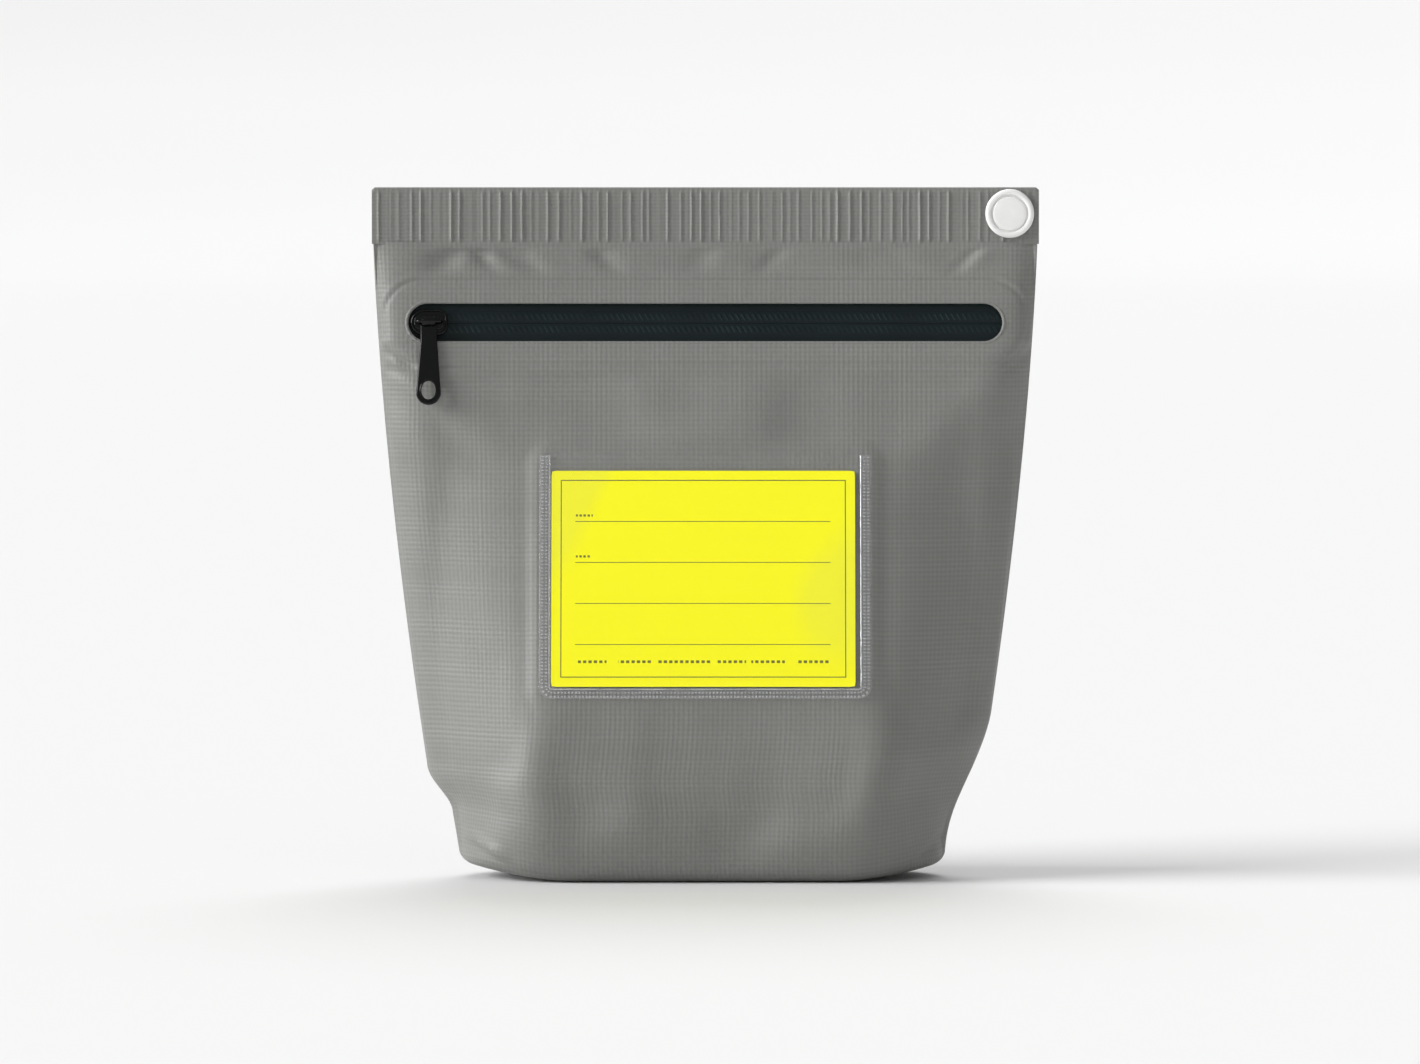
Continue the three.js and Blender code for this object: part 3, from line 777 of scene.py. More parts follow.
class PouchColours(bpy.types.PropertyGroup):
    """Colours of the pouch's materials."""

    tarp: tint("Tarpaulin", "Coated sheet", 0.205, 0.207, 0.195)
    lining: tint("Lining", "Inner cloth", 0.58, 0.56, 0.48)
    tape: tint("Zip tape", "Coated zip tape", 0.005, 0.0095, 0.0105)
    black: tint("Black fittings", "Slider, puller and coil", 0.001, 0.0016, 0.0013)
    vinyl: tint("Vinyl", "Clear pocket sheet", 0.9, 0.92, 0.93)
    card: tint("Card", "Index card", 1.0, 0.965, 0.0)
    snap: tint("Snap", "Press snap", 0.82, 0.82, 0.81)


class PouchStage(bpy.types.PropertyGroup):
    """Camera, floor and lights."""

    distance: length("Distance", "Camera to pouch", 2.37)
    elevation: FloatProperty(name="Elevation", description="Camera above the horizon",
                             default=math.radians(2.5), subtype="ANGLE")
    backdrop_glow: FloatProperty(name="Backdrop glow", description="Light of the backdrop itself",
                                 default=0.6, min=0, max=2)
    room: FloatProperty(name="Room", description="Light from all round", default=0.4, min=0)
    key: FloatProperty(name="Key", description="Soft light from the left", default=3.7, min=0)
    overhead: FloatProperty(name="Overhead", description="Soft light from above", default=1.35,
                            min=0)
    lens: FloatProperty(name="Lens", description="Focal length in millimetres", default=200.0)
    floor_grey: FloatProperty(name="Floor", description="Brightness of floor and backdrop",
                              default=0.78, min=0, max=1)


def settings():
    scene = bpy.context.scene
    return scene.pouch_sizes, scene.pouch_colours, scene.pouch_stage


_finishes = {}


def finish_of(name):
    """Each material is made once."""
    sizes, colours, _ = settings()
    makers = {
        "tarp": lambda: tarp_finish(sizes, colours),
        "lining": lambda: lining_finish(sizes, colours),
        "tape": lambda: tape_finish(colours),
        "coil": lambda: hard_finish("coil_nylon", colours.black, 0.4, 900.0, 0.02 * MM),
        "stop": lambda: hard_finish("stop_metal", (0.03, 0.03, 0.03), 0.35, 700.0, 0.02 * MM,
                                    metal=0.6),
        "slider": lambda: hard_finish("black_enamel", colours.black, 0.24, 500.0, 0.01 * MM,
                                      coat=0.3, specular=0.12),
        "snap": lambda: hard_finish("snap_plastic", colours.snap, 0.16, 300.0, 0.008 * MM,
                                    coat=0.6),
        "vinyl": lambda: vinyl_finish("clear_vinyl", colours, 0.008, 0.04, 0.12),
        "weld": lambda: weld_finish(colours),
    }
    if name not in _finishes:
        _finishes[name] = makers[name]()
    return _finishes[name]


# ---- the sheets


POCKET_LOW, POCKET_HIGH = front_span("card_pocket")
WINDOW_HALF_LENGTH = 88.9 * MM
WINDOW_HALF_WIDTH = 5.75 * MM
CARRIER_HALF_LENGTH = 96.6 * MM
CARRIER_HALF_WIDTH = 12.9 * MM
CARRIER_CORNER = 12 * MM
POCKET_SKIN = 0.62 * MM  # the welded border's height above the front
CARD_SHEET = 0.22 * MM


def from_carrier(x, up):
    """Distance from the outline of the strip that carries the zip, negative inside."""
    return sdf_round_rect(x, up, CARRIER_HALF_LENGTH, CARRIER_HALF_WIDTH, CARRIER_CORNER)


def from_window(x, up):
    """Distance from the zip window's outline, negative inside."""
    return sdf_round_rect(x, up, WINDOW_HALF_LENGTH, WINDOW_HALF_WIDTH, WINDOW_HALF_WIDTH)


def front_places(points):
    """Across and up-the-slope places of points on the front."""
    offset = points - np.array(ZIP_ORIGIN)
    return points[..., 0], offset @ np.array(UP)


def still(points, side):
    """1 where a wall has to stay as the CAD has it: round the zip, under the pocket."""
    if side > 0:
        return np.zeros(points.shape[:-1])
    x, up = front_places(points)
    middle = (POCKET_LOW[1] + POCKET_HIGH[1]) / 2
    pocket_distance = sdf_round_rect(x, up - middle, POCKET_HIGH[0],
                                     (POCKET_HIGH[1] - POCKET_LOW[1]) / 2, 3 * MM)
    near = np.minimum(from_carrier(x, up), pocket_distance)
    return 1 - smooth_step(0.0, 5 * MM, near)


def wall_points(rows, count, side, inset=0.0):
    """A grid over one wall, facing -Y: one row of points for each height."""
    grid, length = [], []
    for z in rows:
        x, y, around = half_outline(z, inset + edge_inset(z), count, side)
        grid.append(np.stack([x, y, np.full(count, z)], axis=1))
        length.append(around)
    points = np.array(grid)
    middle = np.linspace(-0.5, 0.5, count)
    cloth = np.stack([np.outer(length, middle), np.outer(rows, np.ones(count))], axis=2)
    return points, cloth


def gaussian(x, centre, width):
    """A soft bump, 1 at its centre."""
    return np.exp(-((x - centre) / width) ** 2)


def crease(points, start, end, width, depth):
    """A crease along a line on the front, as a push in or out that fades at its ends."""
    x, z = points[..., 0], points[..., 2]
    a, b = np.array(start) * MM, np.array(end) * MM
    step = b - a
    along = ((x - a[0]) * step[0] + (z - a[1]) * step[1]) / (step @ step)
    away = ((x - a[0]) * step[1] - (z - a[1]) * step[0]) / math.sqrt(step @ step)
    span = smooth_step(-0.25, 0.2, along) * (1 - smooth_step(0.75, 1.3, along))
    return depth * gaussian(away, 0, width * MM) * span


def seam_pulls(points, sizes):
    """Small sharp creases where the carrier's ends and the foot's corner pull at the sheet."""
    out = np.zeros(points.shape[:-1])
    for start, end, width, depth in (
        ((-97, 158), (-86, 152.5), 1.4, -0.65),
        ((-96, 153), (-82, 148.5), 1.8, -0.6),
        ((-97, 161), (-92, 153), 1.2, 0.25),
        ((97, 158), (90, 152.5), 1.5, -0.35),
        ((-71, 7.2), (-58, 2.8), 1.0, -0.42),
        ((-72, 10.5), (-60, 6), 1.7, 0.9),
        ((72, 9), (63, 3), 1.5, -0.6),
    ):
        out += crease(points, start, end, width, depth * sizes.fold)
    return out


def folds(points, side, sizes):
    """How far each point of a wall is pushed out by puckers and soft folds."""
    x, z = points[..., 0], points[..., 2]
    draw = random.Random(11 if side < 0 else 23)
    out = np.zeros(x.shape)
    below = BAND_BOTTOM - z
    fade = smooth_step(0, 3.5 * MM, below) * np.exp(-np.maximum(below, 0) / (9 * MM))
    for _ in range(PUCKERS):
        centre = draw.uniform(-0.9, 0.9) * TOP_HALF_WIDTH
        lean = draw.uniform(-1.3, 1.3)
        width = draw.uniform(2.5, 6.5) * MM
        depth = draw.uniform(-1.0, 0.6) * sizes.pucker
        out += depth * gaussian(x + lean * below, centre, width) * fade
    # Creases from the zip's ends down the walls, and the pulls at the boxed corners.
    for start, end, width, depth in (
        ((-96, 148), (-66, 124), 5.0, -0.5),
        ((-92, 140), (-58, 112), 8.0, 0.4),
        ((96, 150), (62, 124), 7.0, 0.4),
        ((97, 138), (64, 104), 8.0, -0.4),
        ((-84, 92), (-60, 60), 8.0, -0.45),
        ((-58, 60), (-50, 12), 6.0, 0.3),
        ((62, 92), (54, 30), 7.0, 0.35),
        ((84, 60), (62, 40), 7.0, -0.4),
        ((-84, 36), (-62, 20), 5.0, -0.7),
        ((84, 40), (60, 24), 6.0, -0.4),
        ((-40, 50), (-20, 8), 13.0, 0.4),
        ((26, 48), (14, 10), 10.0, -0.3),
        ((38, 52), (34, 12), 9.0, 0.35),
    ):
        out += crease(points, start, end, width, depth * sizes.fold)
    out = out * (1 - still(points, side))
    if side < 0:
        out = out + seam_pulls(points, sizes)
    return out * smooth_step(0, 2 * MM, below)


TURN = np.array([-1, -1, 1])  # half a turn about Z
SETTLE_ROWS, SETTLE_COLUMNS = 58, 62
SOFTENING = 5  # passes
PUCKERS = 22


def settle(rows, columns, sizes):
    """Cloth simulation of both walls as one tube, a little larger than the space it has.

    Returns how far each point of the front and back grids moved.
    """
    front, _ = wall_points(rows, columns, -1)
    back = wall_points(rows, columns, 1)[0] * TURN
    points = np.concatenate([front[:, :-1], back[:, :-1]], axis=1)
    made = mesh_object("settling_cloth", points,
                       grid_faces(len(rows), points.shape[1], wrap=True))
    hold = np.concatenate([still(front, -1)[:, :-1], still(back, 1)[:, :-1]], axis=1)
    hold[0, :] = hold[-1, :] = 1
    group = made.vertex_groups.new(name="held")
    for index, weight in enumerate(hold.ravel()):
        if weight > 0.02:
            group.add([index], float(weight), "REPLACE")
    cloth = made.modifiers.new("cloth", "CLOTH")
    chosen = cloth.settings
    chosen.quality = 6
    chosen.mass = 0.25
    chosen.tension_stiffness = chosen.compression_stiffness = 20
    chosen.shear_stiffness = 10
    chosen.bending_stiffness = 8
    chosen.vertex_group_mass = "held"
    chosen.shrink_min = chosen.shrink_max = -0.02
    chosen.use_pressure = True
    chosen.uniform_pressure_force = 0.4
    chosen.effector_weights.gravity = 0.4
    cloth.collision_settings.use_collision = False
    scene = bpy.context.scene
    for number in range(1, sizes.frames + 1):
        scene.frame_set(number)
    graph = bpy.context.evaluated_depsgraph_get()
    result = made.evaluated_get(graph)
    after = np.zeros(len(made.data.vertices) * 3)
    result.data.vertices.foreach_get("co", after)
    moved = after.reshape(points.shape) - points
    bpy.data.objects.remove(made)
    scene.frame_set(1)
    half = columns - 1
    front_moved = np.concatenate([moved[:, :half], moved[:, half:half + 1]], axis=1)
    back_moved = np.concatenate([moved[:, half:], moved[:, :1]], axis=1)
    return front_moved, back_moved * TURN


def softened(grid, passes):
    """A grid of values, blurred a little."""
    for _ in range(passes):
        for axis in (0, 1):
            padded = np.concatenate([grid.take([0], axis), grid, grid.take([-1], axis)], axis)
            length = grid.shape[axis]
            below = padded.take(range(length), axis)
            above = padded.take(range(2, length + 2), axis)
            grid = (below + 2 * grid + above) / 4
    return grid


_settled = {}


def settled_push(side, sizes):
    """How far the simulation moves one wall outwards, on its own coarse grid."""
    if not _settled:
        rows = np.linspace(1 * MM, BAND_BOTTOM, SETTLE_ROWS)
        pushes = [np.zeros((SETTLE_ROWS, SETTLE_COLUMNS))] * 2
        pushes = []
        for moved, which in zip(settle(rows, SETTLE_COLUMNS, sizes), (-1, 1)):
            flat, _ = wall_points(rows, SETTLE_COLUMNS, which)
            push = softened(np.sum(moved * grid_normals(flat), axis=2), SOFTENING)
            pushes.append(sizes.settle_limit * np.tanh(push / sizes.settle_limit))
        _settled.update({"rows": rows, -1: pushes[0], 1: pushes[1]})
    return _settled[side], _settled["rows"]


def spread(coarse, coarse_rows, rows, count):
    """A coarse grid's values on a fine grid."""
    share = np.linspace(0, 1, coarse.shape[1])
    fine = np.linspace(0, 1, count)
    wide = np.array([np.interp(fine, share, line) for line in coarse])
    return np.array([np.interp(rows, coarse_rows, column) for column in wide.T]).T


def shaped_wall(rows, count, side, sizes, inset=0.0):
    """A wall's points with its folds and the settled cloth's, and its places along the cloth."""
    outer, _ = wall_points(rows, count, side)
    points, cloth = wall_points(rows, count, side, inset)
    normal = grid_normals(outer)
    real = outer * TURN if side > 0 else outer
    coarse, coarse_rows = settled_push(side, sizes)
    push = spread(coarse, coarse_rows, rows, count) * (1 - still(real, side))
    push = push + folds(real, side, sizes)
    if side < 0:
        x, up = front_places(outer)
        distance = from_carrier(x, up)
        push = push - 0.3 * MM * gaussian(distance, 0, 0.55 * MM)
        push = push + 0.12 * MM * gaussian(distance, 1.6 * MM, 0.8 * MM)
    seam = np.minimum(np.arange(count), np.arange(count)[::-1]) / (count - 1)
    push = push * smooth_step(0.0, 0.02, seam)[None, :]
    push = push * smooth_step(0, 5 * MM, np.asarray(rows))[:, None]
    shaped = points + normal * push[..., None]
    return lifted(shaped * TURN if side > 0 else shaped), cloth


CUT_BACK = 0.35 * MM  # the sheet is cut this far outside the window, then drawn to its outline
WINDOW_REACH = 4 * MM  # open edges further out than this aren't the window's
FINE_FROM = 146 * MM  # the front's rows are closer together above this height


def wall(name, side, sizes):
    """One wall of the pouch, front (-1) or back (1), with the zip window cut in the front."""
    low, high = 0.45 * MM, BAND_BOTTOM + 0.5 * MM
    window = [ZIP.z + s * WINDOW_HALF_WIDTH * UP.z for s in (-1, 1)]
    spans = [(low, EDGE_RADIUS, 7), (EDGE_RADIUS, FINE_FROM, 92), (FINE_FROM, window[0], 40),
             (window[0], window[1], 14), (window[1], high, 50)]
    if side > 0:
        spans = [(low, EDGE_RADIUS, 7), (EDGE_RADIUS, high, 130)]
    rows = np.concatenate([np.linspace(a, b, n, endpoint=False) for a, b, n in spans] + [[high]])
    count = 250 if side < 0 else 200
    shaped, cloth = shaped_wall(rows, count, side, sizes)
    keep = None
    if side < 0:
        hole = from_window(*front_places(shaped)) < CUT_BACK
        keep = ~(hole[:-1, :-1] | hole[:-1, 1:] | hole[1:, :-1] | hole[1:, 1:])
    made = mesh_object(name, shaped, grid_faces(len(rows), count, keep=keep), cloth)
    drop_loose(made)
    if side < 0:
        snap_to_window(made)
    return set_smooth(solidify(made, sizes.sheet), 50)


def snap_to_window(made):
    """Pulls the cut edge onto the window's outline."""
    straight = WINDOW_HALF_LENGTH - WINDOW_HALF_WIDTH
    with edited(made) as work:
        for vertex in work.verts:
            offset = vertex.co - ZIP_ORIGIN
            x, up, out = offset.x, offset.dot(UP), offset.dot(OUT)
            on_edge = any(edge.is_boundary for edge in vertex.link_edges)
            if on_edge and from_window(x, up) <= WINDOW_REACH:
                core = max(-straight, min(straight, x))
                away = Vector((x - core, up)).normalized() * WINDOW_HALF_WIDTH
                vertex.co = on_front(core + away.x, away.y, out)


def ring_at(z, inset, count):
    """Both walls' outlines at one height, as one closed ring."""
    front_x, front_y, _ = half_outline(z, inset, count, -1)
    back_x, back_y, _ = half_outline(z, inset, count, 1)
    x = np.concatenate([front_x[:-1], -back_x[:-1]])
    y = np.concatenate([front_y[:-1], -back_y[:-1]])
    return np.stack([x, y, np.full(x.size, z)], axis=1)


def tray(name, low, high, inset, edge, thick):
    """A base sheet inside the walls: flat underneath and turned up round its edge."""
    levels = [(inset + edge * (1 - math.sin(a)), edge * (1 - math.cos(a)))
              for a in np.linspace(0, math.pi / 2, 8)] + [(inset, high - low)]
    rings = [ring_at(max(z, 0.0), ring_inset, 110) for ring_inset, z in levels]
    rings = [rings[0] * np.array([s, s, 1]) for s in (0.0001, 0.25, 0.5, 0.75, 0.92)] + rings
    lift = np.array([0, 0, low])
    rings = np.array([lifted(ring) + lift for ring in rings])
    cloth = np.stack([rings[..., 0], rings[..., 1] + rings[..., 2]], axis=2)
    made = mesh_object(name, rings, grid_faces(len(rings), rings.shape[1], wrap=True), cloth)
    return set_smooth(solidify(made, thick), 50)


def lining_sheet(name, side, sizes):
    """One inner wall, pushed in and out like the outer one, with a slot for the zip."""
    low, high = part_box("lining_front" if side < 0 else "lining_back")
    inset = sizes.sheet + 0.55 * MM
    rows, columns = np.linspace(low.z - 3 * MM, high.z, 90), 150
    shaped, cloth = shaped_wall(rows, columns, side, sizes, inset)
    keep = None
    if side < 0:
        x, up = front_places(shaped)
        hole = sdf_round_rect(x, up, WINDOW_HALF_LENGTH + 3 * MM, WINDOW_HALF_WIDTH, 2 * MM) < 0
        keep = ~(hole[:-1, :-1] | hole[1:, 1:])
    made = mesh_object(name, shaped, grid_faces(len(rows), columns, keep=keep), cloth)
    drop_loose(made)
    return set_smooth(solidify(made, sizes.lining), 50)


# ---- the top band


def band_heights(x, z, draw_seed, sizes):
    """How far the band's face stands up: narrow ribs of uneven strength on a flat weld."""
    draw = random.Random(draw_seed)
    count = int(2 * TOP_HALF_WIDTH / sizes.rib_pitch)
    first = -(count - 1) * sizes.rib_pitch / 2
    height = np.zeros(x.shape)
    ends = smooth_step(0, 1.2 * MM, z - BAND_BOTTOM - 0.2 * MM)
    ends = ends * smooth_step(0, 1.0 * MM, HEIGHT - 0.9 * MM - z)
    for i in range(count):
        centre = first + i * sizes.rib_pitch + draw.uniform(-0.8, 0.8) * MM
        strength = draw.uniform(0.1, 1.0) ** 0.8
        width = draw.uniform(0.26, 0.42) * MM
        sway = 0.03 * MM * np.sin(z * 400 + draw.uniform(0, 6))
        height += strength * sizes.rib_height * gaussian(x + sway, centre, width) * ends
        height -= 0.25 * strength * sizes.rib_height * gaussian(
            x + sway, centre + 1.1 * MM, 0.5 * MM) * ends
    return height


def band(name, sizes):
    """The welded band: two ribbed faces and the folded top edge, as one sheet over the walls."""
    columns = 900
    x_line = np.linspace(-TOP_HALF_WIDTH, TOP_HALF_WIDTH, columns)
    half = BAND_HALF - sizes.rib_height * 0.8
    corner = 0.8 * MM
    front_z = np.linspace(BAND_BOTTOM, HEIGHT - corner, 26)
    rows = [(-1, z) for z in front_z]
    rows += [(-math.cos(a), HEIGHT - corner + corner * math.sin(a))
             for a in np.linspace(0, math.pi, 7)[1:-1]]
    rows += [(1, z) for z in front_z[::-1]]
    grid, cloth_up, travelled = [], [], 0.0
    for index, (side, z) in enumerate(rows):
        z_line = np.full(columns, z)
        rise = band_heights(x_line, z_line, 3 if side < 0 else 8, sizes) if abs(side) == 1 else 0
        sag = 0.25 * MM * np.sin(x_line * 42 + 0.7) * smooth_step(0, 12 * MM, z_line - BAND_BOTTOM)
        y = side * (half + rise) + sag * 0.6
        # The two upper corners are a little rounded.
        drop = 0.7 * MM * smooth_step(TOP_HALF_WIDTH - 1 * MM, TOP_HALF_WIDTH, np.abs(x_line))
        lowered = z_line - drop * smooth_step(BAND_BOTTOM, HEIGHT, z_line) ** 3
        grid.append(np.stack([x_line, y, lowered], axis=1))
        if index:
            travelled += np.abs(z - rows[index - 1][1]) + 0.2 * MM
        cloth_up.append(travelled)
    cloth = np.stack([np.outer(np.ones(len(rows)), x_line),
                      np.outer(cloth_up, np.ones(columns))], axis=2)
    faces = grid_faces(len(rows), columns)
    last = len(rows) - 1
    for c in range(columns - 1):  # the underside, then the two ends
        faces.append((c + 1, c, last * columns + c, last * columns + c + 1))
    for r in range(len(rows) // 2):
        far = last - r
        if far - 1 > r + 1:
            faces.append((r * columns, (r + 1) * columns, (far - 1) * columns, far * columns))
            faces.append((r * columns + columns - 1, far * columns + columns - 1,
                          (far - 1) * columns + columns - 1, (r + 1) * columns + columns - 1))
    return set_smooth(mesh_object(name, np.array(grid), faces, cloth), 60)


# ---- the zip


TAPE_LOW, TAPE_HIGH = front_span("zip_tape_upper")
TICK_PITCH = 1.7 * MM  # between the marks that the coil's turns press through the tape
TICK_LEAN = 0.55  # how far a mark leans along the tape for each step away from the middle
TAPE_SHEET = 0.35 * MM
COIL_LINE = 1.9 * MM  # from the zip's middle to the ridge over a coil
GROOVE_LINE = 3.9 * MM  # and to the groove beside it
WIRE_RADIUS = 0.26 * MM
WIRE_ROOM = 0.28 * MM  # from the coil's outer skin to the middle of its wire


def zip_tape(name, up_sign):
    """One coated tape, with the marks of the coil's turns pressed through it."""
    inner, fine, outer = 0.04 * MM, 4.2 * MM, TAPE_HIGH[1]
    columns = 620
    x_line = np.linspace(TAPE_LOW[0], TAPE_HIGH[0], columns)
    edge = np.linspace(inner, fine, 22)
    rest = np.linspace(fine, outer, 14)[1:]
    up_line = np.concatenate([edge, rest])
    if up_sign < 0:
        up_line = -up_line[::-1]
    x, up = np.meshgrid(x_line, up_line)
    away = np.abs(up)
    ridge = gaussian(away, COIL_LINE, 1.0 * MM)
    lean = TICK_LEAN * up_sign * away
    marks = np.sin((x + lean) * 2 * math.pi / TICK_PITCH + (0 if up_sign > 0 else math.pi))
    draw = random.Random(31 + up_sign)
    strength = 0.55 + 0.45 * np.sin(x * 55 + draw.uniform(0, 3)) * np.sin(x * 23 + 1)
    pressed = marks * strength * gaussian(away, COIL_LINE, 0.9 * MM)
    height = 0.16 * MM * ridge + 0.11 * MM * pressed
    height -= 0.06 * MM * gaussian(away, GROOVE_LINE, 0.6 * MM)
    corner = sdf_round_rect(x, up, TAPE_HIGH[0], outer, 12 * MM)
    points = grid_on_front(x, up, TAPE_HIGH[2] - TAPE_SHEET + height)
    keep = (corner[:-1, :-1] <= 0) & (corner[1:, 1:] <= 0)
    made = mesh_object(name, points, grid_faces(len(up_line), columns, keep=keep),
                       np.stack([x, up], axis=2))
    drop_loose(made)
    return solidify(made, TAPE_SHEET)


def zip_coil(name, up_sign, sizes):
    """One wound coil: flattened loops along a tape's edge, behind it."""
    low, high = front_span(name)
    middle_out = (low[2] + high[2]) / 2
    middle_up = (low[1] + high[1]) / 2
    reach = (high[1] - low[1]) / 2 - WIRE_ROOM
    depth = (high[2] - low[2]) / 2 - WIRE_ROOM
    turns = int((high[0] - low[0] - 1 * MM) / sizes.tooth_pitch)
    start = -turns * sizes.tooth_pitch / 2
    steps = 10
    shift = 0 if up_sign > 0 else 0.3 * MM  # the two coils' turns lie between each other
    path = []
    for i in range(turns * steps):
        a = 2 * math.pi * i / steps
        path.append(on_front(start + sizes.tooth_pitch * (i / steps) + shift,
                             middle_up + up_sign * reach * math.cos(a),
                             middle_out + depth * math.sin(a)))
    return tube(name + "_wire", path, WIRE_RADIUS, sides=6)


def window_lip(name):
    """The window's cut edge: the sheet rolls in a little, all the way round."""
    profile = [(1.2, -0.28), (0.85, 0.02), (0.5, 0.12), (0.18, 0.03), (0.02, -0.2), (0.0, -0.65)]
    outline = round_rect(0, 0, 2 * WINDOW_HALF_LENGTH, 2 * WINDOW_HALF_WIDTH,
                         WINDOW_HALF_WIDTH - 0.001 * MM, steps=20)
    spots = []
    for index, (x, up) in enumerate(outline):
        ahead = Vector(outline[(index + 1) % len(outline)])
        behind = Vector(outline[index - 1])
        if (ahead - Vector((x, up))).length < 1e-7:
            continue
        spots.append((x, up, (ahead - behind).normalized()))
    fine = []
    for index, (x, up, along) in enumerate(spots):
        ahead = spots[(index + 1) % len(spots)]
        parts = max(1, int(math.hypot(ahead[0] - x, ahead[1] - up) / (2 * MM)))
        for i in range(parts):
            t = i / parts
            turn = along.lerp(ahead[2], t).normalized()
            fine.append((x + (ahead[0] - x) * t, up + (ahead[1] - up) * t, turn))
    rings, cloth = [], []
    for away, out in profile:
        ring = []
        for x, up, along in fine:
            outward = Vector((along.y, -along.x))
            ring.append(on_front(x + outward.x * away * MM, up + outward.y * away * MM, out * MM))
        rings.append(ring)
        cloth.append([(x, up + away * MM) for x, up, _ in fine])
    made = mesh_object(name, rings, grid_faces(len(profile), len(fine), wrap=True),
                       np.array(cloth))
    return solidify(made, 0.25 * MM)


# ---- slider and puller


def at_slider(out):
    """The front's directions, with the origin at the slider."""
    return FRONT_MATRIX @ Matrix.Translation((SLIDER_X, 0, out))


def slider_parts():
    """The slider: a rounded upper plate with a rim, a rear plate, flanges and a post."""
    low, high = front_span("slider_body")
    length, width = high[0] - low[0], high[1] - low[1]
    top = high[2]
    nose, tail = width * 0.5, 2.4 * MM
    outline = (arc(-length / 2 + nose, 0, nose, 90, 270, 18)
               + arc(length / 2 - tail, -width / 2 + tail, tail, -90, 0, 8)
               + arc(length / 2 - tail, width / 2 - tail, tail, 0, 90, 8))
    upper = plate("upper", [outline], 1.15 * MM, 0.4 * MM, at_slider(top - 0.62 * MM))
    pad = plate("pad", [round_rect(0, 0, 8.8 * MM, 4.4 * MM, 1.6 * MM)], 0.7 * MM, 0.3 * MM,
                at_slider(top - 0.1 * MM))
    rear = plate("rear", [outline], 0.9 * MM, 0.25 * MM, at_slider(low[2] + 0.5 * MM))
    flanges = [plate("flange", [round_rect(0, s * (width / 2 - 0.4 * MM), length - 1.6 * MM,
                                           0.7 * MM, 0.2 * MM, 3)],
                     1.7 * MM, 0.15 * MM, at_slider(low[2] + 1.65 * MM)) for s in (-1, 1)]
    post = plate("post", [round_rect(-3.2 * MM, 0, 2.4 * MM, 0.55 * MM, 0.25 * MM, 4)],
                 3.2 * MM, 0.1 * MM, at_slider((top + low[2]) / 2 - 0.1 * MM))
    bead = [(x * 0.93, y * 0.9) for x, y in outline]
    rim = tube("rim", [at_slider(top - 0.1 * MM) @ Vector((x, y, 0)) for x, y in bead[::2]],
               0.36 * MM, sides=8, closed=True)
    return join("slider_shell", [upper, pad, rear, post, rim, *flanges])


def crown_parts():
    """The crown: a flattened arch that the puller hangs from."""
    low, high = front_span("slider_crown")
    half = (high[0] - low[0]) / 2 - 0.35 * MM
    foot_out, bar = low[2] - 0.1 * MM, BAR_OUT
    corners = [(-half - 0.5 * MM, foot_out), (-half, bar), (half, bar), (half + 0.5 * MM, foot_out)]
    path = [on_front(SLIDER_X + x, 0, out) for x, out in fillet(corners, 1.1 * MM, 6)]
    return tube("crown_arch", path, 0.42 * MM, sides=12, flatten=1.25, flat_axis=UP)


def puller_parts():
    """The puller: a tongue with a lipped hole, and the eye that turns on the crown."""
    low, high = front_span("slider_puller")
    bottom, radius, neck = low[1], (high[0] - low[0]) / 2, 2.5 * MM
    outline = ([(neck, -1.1 * MM), (-neck, -1.1 * MM), (-neck, -6 * MM)]
               + arc(0, bottom + radius, radius, 180, 360, 26) + [(neck, -6 * MM)])
    hole = arc(0, bottom + 4.4 * MM, 2.1 * MM, 0, 360, 28, stretch=1.46)[:-1]
    thick = 1.2 * MM
    back = BAR_OUT - 1.5 * MM
    tongue = plate("tongue", [outline, hole], thick, 0.5 * MM, at_slider(back + thick / 2), 4)
    lip = tube("lip", [at_slider(back + thick - 0.12 * MM) @ Vector((x * 1.16, y, 0))
                       for x, y in hole], 0.28 * MM, sides=8, closed=True)
    ring = [(math.cos(a), math.sin(a)) for a in np.linspace(0, 2 * math.pi, 28, endpoint=False)]
    steps = [(-1.9, 0.92), (-1.9, 1.4), (-1.7, 1.5), (1.7, 1.5), (1.9, 1.4), (1.9, 0.92)]
    rings = [[on_front(SLIDER_X + x * MM, r * MM * c, BAR_OUT + r * MM * s) for c, s in ring]
             for x, r in steps + [steps[0]]]
    eye = mesh_object("eye", rings, grid_faces(len(rings), len(ring), wrap=True))
    weld(eye)
    return set_smooth(join("puller_tab", [tongue, lip, eye]), 45)


# ---- pocket and card


